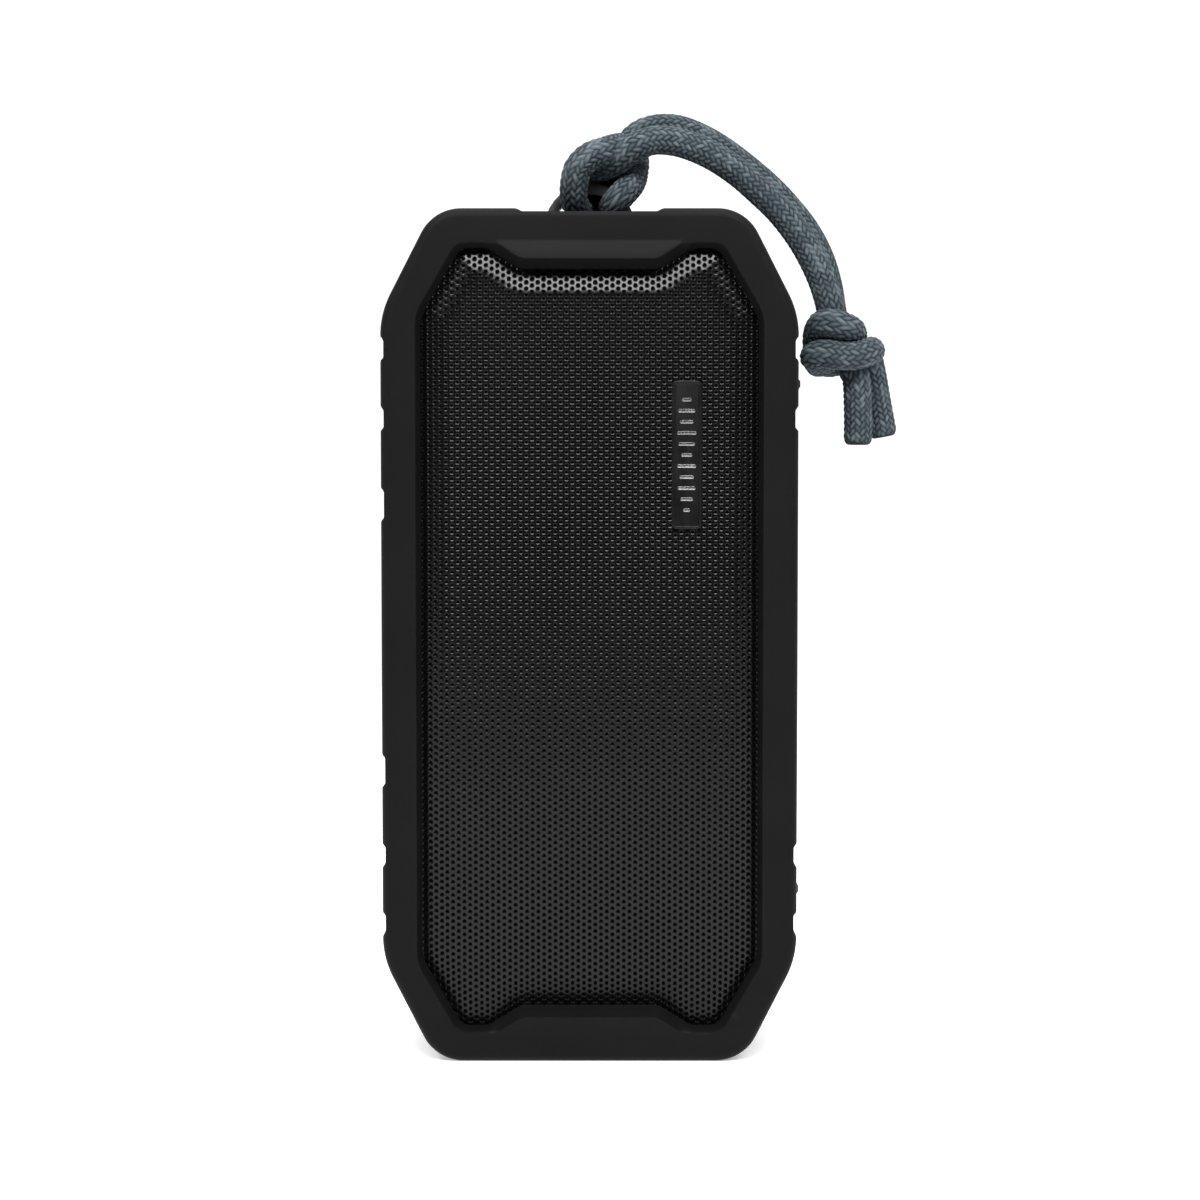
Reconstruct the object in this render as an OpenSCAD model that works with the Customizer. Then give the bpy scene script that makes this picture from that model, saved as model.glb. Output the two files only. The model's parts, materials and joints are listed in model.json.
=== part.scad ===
// Rugged portable shower speaker, standing on its end. Millimetres, +Z up, front towards -Y.
// The origin is the middle of the footprint, on the surface that the speaker stands on.

/* [Body] */
// Width across the flat sides
body_w = 78; // [76:0.5:79]
// Height, standing on its end
body_h = 160; // [160:1:166]
// Depth between the flat front rim and the flat rear rim
rim_depth = 43.6; // [43.6:0.1:44.4]
// Height of the ramped tabs above the rims
tab_rise = 1.2; // [0.6:0.1:1.6]
// Wall of the rubber bumper
bumper_wall = 2.6; // [2.4:0.1:2.8]
// Wall of the plastic housings
housing_wall = 2.2; // [1.8:0.1:2.2]

/* [Side grooves and ribs] */
// Depth of the shallow grooves across the long sides
groove_depth = 0.65; // [0.3:0.05:0.9]
// Height of the small ribs on the right side, and of the buttons above the left side
proud = 0.4; // [0.2:0.1:0.8]

/* [Grille and badge] */
// Thickness of the perforated sheet
sheet_t = 0.6; // [0.4:0.1:0.6]
// How far the middle of the grille lies behind the front rim
grille_recess = 0.8; // [0.6:0.1:1.0]
// How far the front opening sits below the middle of the body
opening_drop = 0.4; // [0:0.1:0.6]
// Width of the badge
badge_w = 5.6; // [4:0.2:7]
// Height of the badge
badge_h = 27.6; // [20:0.2:30]

/* [Drivers] */
// Distance of each driver from the middle of the body
driver_offset = 36; // [35:0.5:37]
// Radius of the driver's mounting flange
driver_r = 22.5; // [22:0.1:22.5]

/* [Buttons] */
// Spacing of the four buttons
button_pitch = 10.5; // [10.3:0.1:11]
// Radius of a button's head
button_r = 3.8; // [3:0.1:3.9]
// How far a button travels
button_travel = 0.5; // [0.3:0.1:0.5]

/* [Port cover] */
// Width of the port cover
cover_w = 32; // [32:0.5:34]
// Height of the port cover above its hinge
cover_h = 12; // [11.5:0.1:12]
// Radius of the hinge pin
pin_r = 0.6; // [0.5:0.05:0.65]

/* [Lanyard] */
// Diameter of the braided cord
cord_d = 5.4; // [4:0.1:5.4]

/* [Hidden] */

$fn = 48;
half_w = body_w / 2;
mid_z = body_h / 2;
rim_y = rim_depth / 2;            // flat rims lie at -rim_y and +rim_y
face_y = rim_y - bumper_wall;     // outer faces of the closed housings
eps = 0.1;                        // how far a cutting shape runs past what it cuts

// Outlines: one quarter as [half width, distance from the body's end, corner radius].
body_quarter = [[half_w, 19.5, 17], [half_w - 10, 0, 8.4]];
lip_quarter = [[half_w - 6.6, 19.2, 8], [half_w - 14.2, 6.1, 3], [17.5, 6.1, 3], [12.7, 9.2, 4]];
mesh_quarter = [[half_w - 7.4, 19.8, 8], [half_w - 14.9, 6.9, 3], [19.1, 6.9, 4], [13, 10.75, 4]];
dome_quarter = [[half_w - 7.4, 19.8, 8], [half_w - 14.9, 6.9, 6]];

// Housings
split_y = -12.3;                  // middle of the seal between the housings
seal_t = 0.6;
housing_in = bumper_wall + housing_wall;
baffle_y = -17;                   // front face of the plate that the drivers sit on
baffle_t = 2.4;
ledge_y = -face_y + sheet_t;      // ledge that the grille's flange rests on
panel_y = face_y + 1.2;           // outer face of the raised rear panel
inner_y = face_y - housing_wall;  // inner face of the rear wall
screw_x = 28.6;
screw_zs = [22.5, body_h - 22.5];
driver_zs = [mid_z - driver_offset, mid_z + driver_offset];

// Driver
hole_r = driver_r - 2.3;          // hole in the baffle
coil_r = 8.1;
cone_r = 16.9;
driver_screw_r = 21.4;

// Passive radiator, a racetrack on the rear panel
rad_z = mid_z + 32;
rad_straight = 18;                // distance between the centres of its round ends
rad_r = 19;                       // inner radius of its frame
rad_plate_r = 14.4;
rad_seat_y = face_y - 0.6;

// Boards and power
board_t = 1.2;
main_board_y = 0;
main_board_w = 50;
main_board_h = 22;
board_screw_xs = [-22, 22];
board_screw_zs = [mid_z - 8, mid_z + 8];
battery_w = 54;
battery_h = 40;
battery_t = 8;
battery_y = 6.4;
battery_z = mid_z - 19;

// Ports
cover_hinge_z = 19;
cover_hinge_y = panel_y - 1.5;
cover_t = 2;
socket_z = 25.6;                  // axis of both sockets
aux_x = 8.5;
usb_x = -6.5;
port_floor_y = 15.6;              // floor of the port recess, where both sockets end
port_wall = 1.6;                  // wall behind that floor
pad_y = port_floor_y + 0.3;        // where the cover's pads stop, just off the sockets
port_post_x = 13.5;
port_post_y = 10.5;
port_board_z = socket_z - 2.6;    // top face of the port board

// Buttons, from the bottom one to the top one
button_zs = [for (i = [0 : 3]) mid_z + (i - 1.5) * button_pitch];
switch_gap = 0.08;
button_end_x = -half_w + housing_in - 0.4;
switch_x = button_end_x + button_travel + switch_gap;
switch_board_x = switch_x + 2.4;
light_y = 7;
light_r = 0.75;

// Lanyard lug
recess_half = 13.8;
recess_d = 0.7;
lug_half = 9;
lug_top = body_h + 6.8;
lug_y = 2.6;
lug_eye_half = 6.8;
lug_bar = 2.3;
lug_screw_x = 11.8;
plate_half = 14.5;
plate_top = body_h - bumper_wall;

// Lanyard: routes of the two strands from the hitch to the knot, and of the two tails.
// Heights are counted from the body's top end.
cord_r = cord_d / 2;
front_strand = [
    [8.4, -6, 13], [12, -5.8, 14.4], [16, -5.4, 14.3], [19.5, -5, 13.4], [24, -4.6, 11.4],
    [28.6, -4.2, 8.4], [32.6, -3.9, 5], [36.6, -3.6, 1.2], [40.4, -3.3, -3.6],
    [43, -3.1, -8], [45, -2.9, -12.4], [46.4, -2.8, -17.2]
];
rear_strand = [
    [9.6, 0.3, 16.4], [12.6, 0.5, 17.5], [16.4, 0.8, 17.6], [20.4, 1.2, 16.4], [25, 1.5, 14],
    [30, 1.8, 10.4], [35, 2.1, 6.2], [39, 2.3, 2], [42.4, 2.5, -2.4], [45, 2.6, -7.4],
    [46.6, 2.7, -12.6], [47.4, 2.7, -17.4]
];
left_tail = [[51.6, -1.4, -30.4], [52, -2, -37], [52, -2.2, -43.4]];
right_tail = [[55, 2.2, -28.8], [56.2, 2.8, -35], [57.5, 3, -41.8]];

rubber = [0.13, 0.13, 0.14];
black_plastic = [0.08, 0.08, 0.09];
steel = [0.72, 0.73, 0.75];
dark_metal = [0.16, 0.16, 0.17];
board_green = [0.06, 0.28, 0.16];
cord_grey = [0.3, 0.35, 0.38];

// ---- outlines ----

function unit(v) = v / norm(v);

// Points of the round corner at p, on the way from a to b; inset pulls them inwards.
function corner(a, p, b, r, inset, steps) =
    let (
        u = unit(a - p),
        v = unit(b - p),
        half = acos(u * v) / 2,
        turn = cross(p - a, b - p) > 0 ? 1 : -1,
        centre = p + unit(u + v) * r / sin(half),
        first = atan2(u[0], -u[1]),
        sweep = turn * (180 - 2 * half)
    )
    [for (k = [0 : steps])
        let (turned = first + sweep * k / steps)
        centre + (turn * r - inset) * [cos(turned), sin(turned)]];

// Closed outline from corners [x, z, radius], counterclockwise.
function outline(corners, inset = 0, steps = 5) =
    let (n = len(corners))
    [for (i = [0 : n - 1])
        let (
            a = corners[(i + n - 1) % n],
            p = corners[i],
            b = corners[(i + 1) % n]
        )
        each corner([a[0], a[1]], [p[0], p[1]], [b[0], b[1]], p[2], inset, steps)];

// The four mirrored quarters of an outline, all round the body.
function all_round(quarter) =
    let (
        back = [for (i = [len(quarter) - 1 : -1 : 0]) quarter[i]]
    )
    concat(
        [for (q = quarter) [q[0], body_h - q[1], q[2]]],
        [for (q = back) [-q[0], body_h - q[1], q[2]]],
        [for (q = quarter) [-q[0], q[1], q[2]]],
        [for (q = back) [q[0], q[1], q[2]]]
    );

function body_loop(inset = 0) = outline(all_round(body_quarter), inset);
function lip_loop() = outline(all_round(lip_quarter));
function mesh_loop(inset = 0) = outline(all_round(mesh_quarter), inset);
function dome_loop(inset = 0) = outline(all_round(dome_quarter), inset);

// A rounded rectangle, centred on [x, z].
function plate_loop(x, z, w, h, r) =
    outline([
        [x + w / 2, z + h / 2, r], [x - w / 2, z + h / 2, r],
        [x - w / 2, z - h / 2, r], [x + w / 2, z - h / 2, r]
    ], 0, 4);

// ---- building shapes ----

// Extrudes a drawing in X and Z from depth front to depth rear.
module slab(front, rear) {
    translate([0, rear, 0])
        rotate([90, 0, 0])
            linear_extrude(rear - front) children();
}

// Solid through outlines with the same number of points, levels = [[y, points], ...].
module loft(levels) {
    n = len(levels[0][1]);
    last = len(levels) - 1;
    points = [for (level = levels, p = level[1]) [p[0], level[0], p[1]]];
    walls = [for (k = [0 : last - 1], i = [0 : n - 1])
        let (j = (i + 1) % n, a = k * n, b = a + n)
        each [[a + i, a + j, b + j], [a + i, b + j, b + i]]];
    front_cap = [for (i = [n - 1 : -1 : 0]) i];
    rear_cap = [for (i = [0 : n - 1]) last * n + i];
    polyhedron(points, concat([front_cap], walls, [rear_cap]));
}

// Revolved shape about an axis along Y; the profile's second value is -y.
module spin(z) {
    translate([0, 0, z])
        rotate([90, 0, 0])
            rotate_extrude() children();
}

// Cylinder along Y from depth front to depth rear.
module rod_y(x, z, r, front, rear) {
    translate([x, rear, z])
        rotate([90, 0, 0])
            cylinder(r = r, h = rear - front);
}

// Cylinder along X from left to right.
module rod_x(y, z, r, left, right) {
    translate([left, y, z])
        rotate([0, 90, 0])
            cylinder(r = r, h = right - left);
}

// Box between two corners.
module box(low, high) {
    translate(low) cube(high - low);
}

// Tube swept along a route, with a ring at each point, square to the route there.
module tube(route, r, sides = 8) {
    n = len(route);
    rings = [for (i = [0 : n - 1])
        let (
            along = unit(route[min(i + 1, n - 1)] - route[max(i - 1, 0)]),
            side = unit(cross(along, abs(along[1]) < 0.9 ? [0, 1, 0] : [1, 0, 0])),
            up = cross(side, along)
        )
        [for (k = [0 : sides - 1])
            route[i] + r * (cos(360 * k / sides) * side + sin(360 * k / sides) * up)]];
    walls = [for (i = [0 : n - 2], k = [0 : sides - 1])
        let (a = i * sides, b = a + sides, m = (k + 1) % sides)
        each [[a + k, b + m, a + m], [a + k, b + k, b + m]]];
    first = [for (k = [0 : sides - 1]) k];
    last = [for (k = [sides - 1 : -1 : 0]) (n - 1) * sides + k];
    polyhedron([for (ring = rings) each ring], concat([first], walls, [last]));
}

// Racetrack solid about the passive radiator's centre, from depth front to depth rear.
module racetrack(r, front, rear) {
    box([-r, front, rad_z - rad_straight / 2], [r, rear, rad_z + rad_straight / 2]);
    for (side = [-1, 1])
        rod_y(0, rad_z + side * rad_straight / 2, r, front, rear);
}

// Moves what belongs to the front opening down with it.
module dropped() translate([0, 0, -opening_drop]) children();

// ---- bumper ----

// A groove or rib across a long side: half width, depth and which side.
module side_bar(side, z, half, depth) {
    slab(-rim_y - tab_rise - eps, rim_y + tab_rise + eps)
        polygon([
            [side * (half_w + 1), z - half - 1], [side * (half_w + 1), z + half + 1],
            [side * (half_w - depth), z + half - depth], [side * (half_w - depth), z - half + depth]
        ]);
}

module side_rib(z) {
    half = 0.7;
    slab(-rim_y + 2.2, rim_y - 2.2)
        polygon([
            [half_w - 1, z - half - 0.3], [half_w, z - half - 0.3], [half_w + proud, z - half + 0.1],
            [half_w + proud, z + half - 0.1], [half_w, z + half + 0.3], [half_w - 1, z + half + 0.3]
        ]);
}

// Ramp-shaped tab on a rim; it rises inwards from the body's end.
module tab(top, side) {
    foot = 5.6;
    crest = 9.2;
    back = crest + 3;
    half = 17.2;
    z = function(d) top ? body_h - d : d;
    low_y = side * (rim_y - 1);
    rim = side * rim_y;
    high_y = side * (rim_y + tab_rise);
    ramp = [
        [rim, z(foot)], [high_y, z(crest)], [high_y, z(back)], [low_y, z(back)], [low_y, z(foot)]
    ];
    translate([-half, 0, 0])
        rotate([90, 0, 90])
            linear_extrude(2 * half) polygon(ramp);
}

// Tool that cuts the opening and its sloping lip on one side.
module lip_cut(side) {
    crest_y = side * (rim_y + tab_rise + 1);
    rim = side * rim_y;
    deep = side * face_y;
    past = side * (face_y - 0.4);
    levels = [[crest_y, lip_loop()], [rim, lip_loop()], [deep, mesh_loop()], [past, mesh_loop()]];
    loft(side < 0 ? levels : [for (i = [3 : -1 : 0]) levels[i]]);
}

module bumper() {
    round_r = 1.8;
    edge = [for (k = [0 : 3]) [rim_y - round_r * (1 - sin(30 * k)), round_r * (1 - cos(30 * k))]];
    front_edge = [for (i = [3 : -1 : 0]) [-edge[i][0], body_loop(edge[i][1])]];
    rear_edge = [for (e = edge) [e[0], body_loop(e[1])]];
    color(rubber) difference() {
        union() {
            loft(concat(front_edge, rear_edge));
            for (top = [false, true]) {
                dropped() tab(top, -1);
                tab(top, 1);
            }
            for (z = [-47.4, 47.4]) side_rib(mid_z + z);
        }
        slab(-face_y, face_y) polygon(body_loop(bumper_wall));
        dropped() lip_cut(-1);
        lip_cut(1);
        for (side = [-1, 1], z = [-54, -41, 41, 54]) side_bar(side, mid_z + z, 2.25, groove_depth);
        for (z = [-25, 25]) side_bar(-1, mid_z + z, 3.1, groove_depth);
        slab(-rim_y - eps, rim_y + eps)
            polygon([
                [-recess_half, body_h + eps], [recess_half, body_h + eps],
                [recess_half - 1.2, body_h - recess_d], [1.2 - recess_half, body_h - recess_d]
            ]);
        box([-lug_half - 0.1, -lug_y - 0.1, plate_top - 1], [lug_half + 0.1, lug_y + 0.1, body_h + 1]);
        for (z = button_zs) {
            rod_x(0, z, button_r + 0.25, -half_w - 1, -half_w + bumper_wall + 1);
            rod_x(0, z, button_r + 0.8, -half_w + 1.4, -half_w + bumper_wall + 1);
        }
        rod_x(light_y, mid_z, light_r + 0.05, -half_w - 1, -half_w + bumper_wall + 1);
    }
}

// ---- housings ----

module front_housing() {
    rear_y = split_y - seal_t / 2;
    color(black_plastic) difference() {
        union() {
            difference() {
                slab(-face_y, rear_y) polygon(body_loop(bumper_wall));
                dropped() {
                    slab(-face_y - eps, ledge_y) polygon(mesh_loop(-1.6));
                    slab(-face_y - eps, baffle_y) polygon(mesh_loop(0.8));
                }
                slab(baffle_y + baffle_t, rear_y + eps) polygon(body_loop(housing_in));
            }
            for (x = [-screw_x, screw_x], z = screw_zs)
                rod_y(x, z, 3.2, baffle_y + baffle_t - eps, -2);
            for (x = board_screw_xs, z = board_screw_zs)
                rod_y(x, z, 2, baffle_y + baffle_t - eps, main_board_y - board_t);
        }
        for (z = driver_zs) rod_y(0, z, hole_r, baffle_y - 1, baffle_y + baffle_t + 1);
        for (x = [-screw_x, screw_x], z = screw_zs) rod_y(x, z, 1.3, -12, -1);
        for (x = board_screw_xs, z = board_screw_zs) rod_y(x, z, 0.9, -8, main_board_y);
        for (z = driver_zs, a = [45 : 90 : 315])
            rod_y(driver_screw_r * cos(a), z + driver_screw_r * sin(a), 0.8, baffle_y - 1, baffle_y + 2);
    }
}

module rear_housing() {
    front_y = split_y + seal_t / 2;
    post_foot_z = bumper_wall + 1;
    color(black_plastic) difference() {
        union() {
            difference() {
                slab(front_y, face_y) polygon(body_loop(bumper_wall));
                slab(front_y - eps, inner_y) polygon(body_loop(housing_in));
            }
            slab(face_y - eps, panel_y) polygon(mesh_loop(0.2));
            for (x = [-screw_x, screw_x], z = screw_zs) rod_y(x, z, 3.2, -2, inner_y + eps);
            // bosses for the lug's screws, under the top wall
            for (x = [-lug_screw_x, lug_screw_x])
                translate([x, 0, plate_top - 9]) cylinder(r = 2.6, h = 7.4);
            // box behind the port recess
            box([-cover_w / 2 - 2, port_floor_y - port_wall, cover_hinge_z - 4],
                [cover_w / 2 + 2, inner_y + eps, cover_hinge_z + cover_h + 2]);
            // posts for the battery tray and the port board
            for (x = [-23, 23]) rod_y(x, 44, 2, battery_y + battery_t + 1.2, inner_y + eps);
            for (x = [-port_post_x, port_post_x])
                translate([x, port_post_y, post_foot_z])
                    cylinder(r = 1.8, h = port_board_z - board_t - post_foot_z);
        }
        // passive radiator: seat for its frame, and the opening
        racetrack(rad_r + 4, rad_seat_y, panel_y + 1);
        racetrack(rad_r + 0.6, inner_y - 1, panel_y + 1);
        // recessed screw heads and their holes
        for (x = [-screw_x, screw_x], z = screw_zs) {
            rod_y(x, z, 2.5, panel_y - 2.4, panel_y + 1);
            rod_y(x, z, 1.4, -3, panel_y);
        }
        // lug plate and its screws
        box([-plate_half - 0.1, -5.1, plate_top - 1.6], [plate_half + 0.1, 5.1, plate_top + 1]);
        for (x = [-lug_screw_x, lug_screw_x]) translate([x, 0, plate_top - 8]) cylinder(r = 0.9, h = 8);
        for (x = [-port_post_x, port_post_x])
            translate([x, port_post_y, port_board_z - 7]) cylinder(r = 0.9, h = 7);
        // port recess with the cover's hinge groove
        box([-cover_w / 2 - 0.3, port_floor_y, cover_hinge_z - 2.6],
            [cover_w / 2 + 0.3, panel_y + 1, cover_hinge_z + cover_h + 0.3]);
        rod_x(cover_hinge_y, cover_hinge_z, pin_r, -cover_w / 2 - 1.8, cover_w / 2 + 1.8);
        box([usb_x - 4.2, 13, socket_z - 1.7], [usb_x + 4.2, port_floor_y + 1, socket_z + 1.7]);
        rod_y(aux_x, socket_z, 2.9, 13, port_floor_y + 1);
        // buttons and light
        for (z = button_zs) rod_x(0, z, 2.95, -half_w, -half_w + housing_in + 1);
        rod_x(light_y, mid_z, light_r + 0.05, -half_w, -half_w + housing_in + 1);
    }
}

module housing_seal() {
    color([0.3, 0.3, 0.32]) difference() {
        slab(split_y - seal_t / 2, split_y + seal_t / 2) polygon(body_loop(bumper_wall + 0.4));
        slab(split_y - 1, split_y + 1) polygon(body_loop(housing_in - 0.4));
    }
}

// ---- grille ----

// Domed solid whose flat front lies at depth front.
module dome(front, inset) {
    rise = [[0, 5.2], [0.25, 2.8], [0.75, 1.2], [1.8, 0]];
    levels = [for (k = rise) [front + k[0], dome_loop(inset + k[1])]];
    loft(concat(levels, [[-face_y + 2, dome_loop(inset)]]));
}

module grille() {
    front = grille_recess - rim_y;
    color(dark_metal) dropped() difference() {
        union() {
            intersection() {
                dome(front, 0);
                slab(front - 1, ledge_y) polygon(mesh_loop(0.1));
            }
            slab(-face_y, ledge_y) polygon(mesh_loop(-1.4));
        }
        intersection() {
            dome(front + sheet_t, sheet_t);
            slab(front, ledge_y + 1) polygon(mesh_loop(0.1 + sheet_t));
        }
    }
}

module grille_cloth() {
    back = grille_recess - rim_y + sheet_t;
    color([0.05, 0.05, 0.05]) dropped() intersection() {
        slab(back, back + 0.2) polygon(dome_loop(5.3 + sheet_t));
        slab(back, back + 0.2) polygon(mesh_loop(1));
    }
}

module badge() {
    front = grille_recess - rim_y;
    color([0.04, 0.04, 0.04])
        slab(front - 0.6, front) polygon(plate_loop(18.1, mid_z + 34.2, badge_w, badge_h, 0.6));
}

// ---- drivers ----

module basket(z) {
    color(dark_metal) difference() {
        spin(z) polygon([
            [19.6, 17.8], [driver_r, 17.8], [driver_r, 17], [hole_r - 0.1, 17], [hole_r - 0.1, 15.6],
            [15.2, 5.4], [15.2, 4.8], [8.8, 4.8], [8.8, 5.8], [14.2, 5.8], [19.2, 15.8], [19.2, 17.4]
        ]);
        for (a = [0 : 90 : 270])
            translate([0, 0, z]) rotate([0, a, 0]) box([-5.5, -14, 8], [5.5, -6.6, 24]);
        for (a = [45 : 90 : 315])
            rod_y(driver_screw_r * cos(a), z + driver_screw_r * sin(a), 0.8, -19, -16);
    }
}

module magnet(z) {
    color(steel) spin(z) polygon([
        [0, 4.7], [7.2, 4.7], [7.2, -2.4], [9.2, -2.4], [9.2, 3], [8.7, 3], [8.7, 4.8], [13, 4.8],
        [13, 3], [15, 3], [15, -2.4], [13, -2.4], [13, -4], [0, -4]
    ]);
}

module voice_coil(z) {
    color([0.75, 0.42, 0.2]) spin(z)
        polygon([[coil_r - 0.5, 10], [coil_r, 10], [coil_r, 0], [coil_r - 0.5, 0]]);
}

module spider(z) {
    inner = coil_r + 0.1;
    waves = [for (k = [0 : 12]) [inner + (14.6 - inner) * k / 12, 7.2 + 0.4 * sin(k * 120)]];
    under = [for (k = [12 : -1 : 0]) waves[k] - [0, 0.3]];
    color([0.85, 0.7, 0.35]) spin(z) polygon(concat(waves, under));
}

module cone(z) {
    color([0.12, 0.12, 0.13]) spin(z) polygon([
        [coil_r, 10], [coil_r, 9], [cone_r - 0.2, 16.9], [cone_r, 17.6], [cone_r - 0.7, 17.6]
    ]);
}

module dust_cap(z) {
    cap_r = 12;
    rim_r = coil_r - 0.1;
    low = sqrt(cap_r * cap_r - rim_r * rim_r);
    outer = [for (k = [0 : 6])
        let (x = rim_r * k / 6)
        [x, 10.4 + sqrt(cap_r * cap_r - x * x) - low]];
    color([0.1, 0.1, 0.1]) spin(z)
        polygon(concat(outer, [[rim_r, 10], [rim_r - 1, 10], [0, 12.6]]));
}

// Half-roll profile, from the inner foot to the outer foot, on the face at height base.
module roll_profile(inner, outer, base, t) {
    r = (outer - inner) / 2;
    centre = (outer + inner) / 2;
    crown = [for (a = [0 : 20 : 180]) [centre + r * cos(a), base + r * sin(a)]];
    under = [for (a = [180 : -20 : 0]) [centre + (r - t) * cos(a), base + (r - t) * sin(a)]];
    polygon(concat(crown, under));
}

module surround(z) {
    flange_y = 17.8;
    color(rubber) spin(z) {
        roll_profile(cone_r + 0.1, 19.6, flange_y + 0.1, 0.3);
        polygon([[19.4, flange_y], [20.3, flange_y], [20.3, flange_y + 0.35], [19.4, flange_y + 0.35]]);
    }
}

module upper_basket() basket(driver_zs[1]);
module upper_magnet() magnet(driver_zs[1]);
module upper_voice_coil() voice_coil(driver_zs[1]);
module upper_spider() spider(driver_zs[1]);
module upper_cone() cone(driver_zs[1]);
module upper_dust_cap() dust_cap(driver_zs[1]);
module upper_surround() surround(driver_zs[1]);
module lower_basket() basket(driver_zs[0]);
module lower_magnet() magnet(driver_zs[0]);
module lower_voice_coil() voice_coil(driver_zs[0]);
module lower_spider() spider(driver_zs[0]);
module lower_cone() cone(driver_zs[0]);
module lower_dust_cap() dust_cap(driver_zs[0]);
module lower_surround() surround(driver_zs[0]);

// Pan-head screw along Y: shank from its tip to the head's seat, head towards side.
module screw_y(x, z, tip, seat, shank_r, head_r, head_h) {
    side = seat > tip ? 1 : -1;
    rod_y(x, z, shank_r, min(tip, seat), max(tip, seat));
    difference() {
        rod_y(x, z, head_r, min(seat, seat + side * head_h), max(seat, seat + side * head_h));
        for (a = [0, 90])
            translate([x, seat + side * head_h, z]) rotate([0, a, 0])
                cube([head_r * 1.1, head_h * 1.1, head_r * 0.28], center = true);
    }
}

module driver_screws() {
    color(steel) for (z = driver_zs, a = [45 : 90 : 315])
        screw_y(
            driver_screw_r * cos(a), z + driver_screw_r * sin(a), baffle_y + 1.8, -17.8, 0.75, 1.05, 0.5
        );
}

// ---- passive radiator ----

module radiator_frame() {
    color(black_plastic) difference() {
        racetrack(rad_r + 3.9, rad_seat_y + 0.5, rad_seat_y + 1.5);
        racetrack(rad_r, rad_seat_y, rad_seat_y + 2);
    }
}

module radiator_roll() {
    roll_profile(rad_plate_r + 0.2, rad_r - 0.1, rad_seat_y + 0.3, 0.5);
}

module radiator_surround() {
    color(rubber) {
        difference() {
            racetrack(rad_r + 3.9, rad_seat_y, rad_seat_y + 0.5);
            racetrack(rad_r - 0.7, rad_seat_y - 1, rad_seat_y + 1);
        }
        for (side = [0, 1]) {
            translate([0, 0, rad_z + (side - 0.5) * rad_straight])
                rotate([-90, 0, 0])
                    rotate([0, 0, 180 * side])
                        rotate_extrude(angle = 180) radiator_roll();
            translate([0, 0, rad_z - rad_straight / 2])
                linear_extrude(rad_straight)
                    mirror([side, 0]) radiator_roll();
        }
    }
}

module radiator_plate() {
    color(dark_metal) {
        racetrack(rad_plate_r, rad_seat_y - 0.4, rad_seat_y + 0.8);
        racetrack(rad_plate_r - 3, rad_seat_y + 0.8, rad_seat_y + 1.3);
    }
}

// ---- power and boards ----

module battery_pack() {
    color([0.16, 0.3, 0.5])
        slab(battery_y, battery_y + battery_t)
            polygon(plate_loop(0, battery_z, battery_w, battery_h, 2.5));
}

module battery_tray() {
    wall = 1.2;
    rear = battery_y + battery_t;
    color(black_plastic) difference() {
        slab(battery_y + 2, rear + wall)
            polygon(plate_loop(0, battery_z, battery_w + 2 * wall + 0.2, battery_h + 2 * wall + 0.2, 3));
        slab(battery_y, rear)
            polygon(plate_loop(0, battery_z, battery_w + 0.2, battery_h + 0.2, 2.6));
    }
}

module main_board() {
    color(board_green) difference() {
        slab(main_board_y - board_t, main_board_y)
            polygon(plate_loop(0, mid_z, main_board_w, main_board_h, 1));
        for (x = board_screw_xs, z = board_screw_zs) rod_y(x, z, 1.1, -5, 5);
    }
}

module main_board_parts() {
    front = main_board_y - board_t;
    color([0.1, 0.1, 0.12]) {
        box([-14, front - 1.2, mid_z - 3.5], [-7, front, mid_z + 3.5]);
        box([6, front - 1, mid_z - 3], [12, front, mid_z + 3]);
        for (x = [-2.5, 2.5]) rod_y(x, mid_z + 6, 2, front - 5, front);
        for (x = [-3, 0, 3])
            box([x - 0.8, front - 0.7, mid_z - 6], [x + 0.8, front, mid_z - 4.6]);
        for (x = [-12, -6, 6, 12])
            box([x - 2.4, main_board_y, mid_z + 3], [x + 2.4, main_board_y + 3, mid_z + 7]);
    }
}

module board_screws() {
    color(steel) {
        for (x = board_screw_xs, z = board_screw_zs)
            screw_y(x, z, -7, main_board_y, 0.85, 1.7, 1);
        for (x = [-port_post_x, port_post_x])
            translate([x, port_post_y, port_board_z]) {
                translate([0, 0, -6]) cylinder(r = 0.85, h = 6);
                cylinder(r = 1.7, h = 1);
            }
    }
}

module port_board() {
    color(board_green) difference() {
        box([-16.5, 2.5, port_board_z - board_t], [16.5, port_floor_y - port_wall, port_board_z]);
        for (x = [-port_post_x, port_post_x]) translate([x, port_post_y, 0]) cylinder(r = 1, h = mid_z);
    }
}

module charging_socket() {
    mouth = port_floor_y;
    color(steel) difference() {
        union() {
            slab(mouth - 7.2, mouth) polygon(plate_loop(usb_x, socket_z, 8.2, 3.2, 1));
            box([usb_x - 3, mouth - 7, port_board_z], [usb_x + 3, mouth - 3, socket_z - 1.5]);
        }
        slab(mouth - 6.6, mouth + 1) polygon(plate_loop(usb_x, socket_z, 7.6, 2.6, 0.8));
    }
    color(black_plastic)
        box([usb_x - 2.6, mouth - 6.8, socket_z - 0.35], [usb_x + 2.6, mouth - 1, socket_z + 0.35]);
}

module aux_socket() {
    mouth = port_floor_y;
    color(black_plastic) difference() {
        union() {
            box([aux_x - 3, 2.6, port_board_z], [aux_x + 3, mouth - 1.7, socket_z + 2.6]);
            rod_y(aux_x, socket_z, 2.8, mouth - 2, mouth);
        }
        rod_y(aux_x, socket_z, 1.8, 3.6, mouth + 1);
    }
}

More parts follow.
